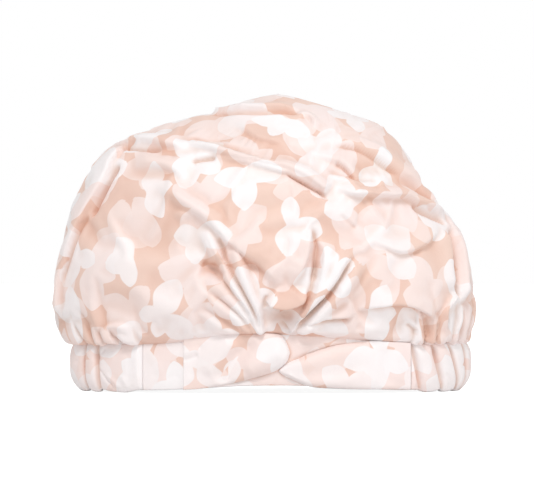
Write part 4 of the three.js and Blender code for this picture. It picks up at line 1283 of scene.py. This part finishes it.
view = {
    "distance": 3.5, "elevation": 0.6, "frameWidth": photoWidth * pixelSize * toMetres, "sensor": 36.0,
    "middle": (photoWidth / 2, photoHeight / 2), "clipEnd": 50.0,
}
studio = {
    "world": 0.62,
    "softboxes": {  # place, aim and size in metres, and watts
        "key": ((-0.12, -1.1, 1.25), (0, 0, 0.1), 0.5, 8.5),
        "fill": ((1.1, -1.0, 0.4), (0, 0, 0.1), 1.0, 3.0),
    },
    "floorHalf": 4000, "floorShade": 0.93, "floorGlow": 0.93,  # mm from its middle to its edge
}


def addCamera():
    data = bpy.data.cameras.new("camera")
    data.sensor_width = view["sensor"]
    data.lens = view["distance"] * view["sensor"] / view["frameWidth"]
    data.clip_end = view["clipEnd"]
    camera = bpy.data.objects.new("camera", data)
    tilt = math.radians(view["elevation"])
    x, z = (float(value) * toMetres for value in fromPhoto(view["middle"]))
    camera.location = (x, -view["distance"] * math.cos(tilt), z + view["distance"] * math.sin(tilt))
    camera.rotation_euler = (math.pi / 2 - tilt, 0, 0)
    bpy.context.scene.collection.objects.link(camera)
    bpy.context.scene.camera = camera


def addSoftbox(name, place, aim, size, power):
    data = bpy.data.lights.new(name, "AREA")
    data.shape, data.size, data.energy = "DISK", size, power
    lamp = bpy.data.objects.new(name, data)
    lamp.location = place
    direction = np.array(aim) - np.array(place)
    pitch = math.atan2(math.hypot(direction[0], direction[1]), -direction[2])
    lamp.rotation_euler = (pitch, 0, math.atan2(direction[0], -direction[1]) + math.pi)
    bpy.context.scene.collection.objects.link(lamp)


# The floor also glows, for the camera only, so that it meets the white world without an edge.
def addFloor():
    nodes = NodeTree(bpy.data.materials.new("white sweep"))
    seen = nodes.add("LightPath").outputs["Is Camera Ray"]
    shade, glow, half = studio["floorShade"], studio["floorGlow"], studio["floorHalf"]
    nodes.set(Base_Color=(shade, shade, shade, 1), Roughness=0.9, Specular_IOR_Level=0.1,
              Emission_Color=(1, 1, 1, 1), Emission_Strength=nodes.math("MULTIPLY", seen, glow))
    corners = [(-half, -half, 0), (half, -half, 0), (half, half, 0), (-half, half, 0)]
    floor = addMesh("floor", corners, [[0, 1, 2, 3]], smooth=False)
    floor.data.materials.append(nodes.owner)


# The world lights at the given strength, and camera and mirror rays see it plain white.
def lightWorld(strength):
    world = bpy.data.worlds.new("studio")
    nodes = NodeTree(world, "Background")
    path = nodes.add("LightPath")
    seen = nodes.math("MAXIMUM", path.outputs["Is Camera Ray"], path.outputs["Is Glossy Ray"])
    nodes.set(Color=(1, 1, 1, 1), Strength=nodes.ramp(seen, 0.0, 1.0, strength, 1.0))
    bpy.context.scene.world = world


addCamera()
addFloor()
lightWorld(studio["world"])
for name, values in studio["softboxes"].items():
    addSoftbox(name, *values)
bpy.context.scene.view_settings.view_transform = "Standard"
print("camera, floor and lights set")
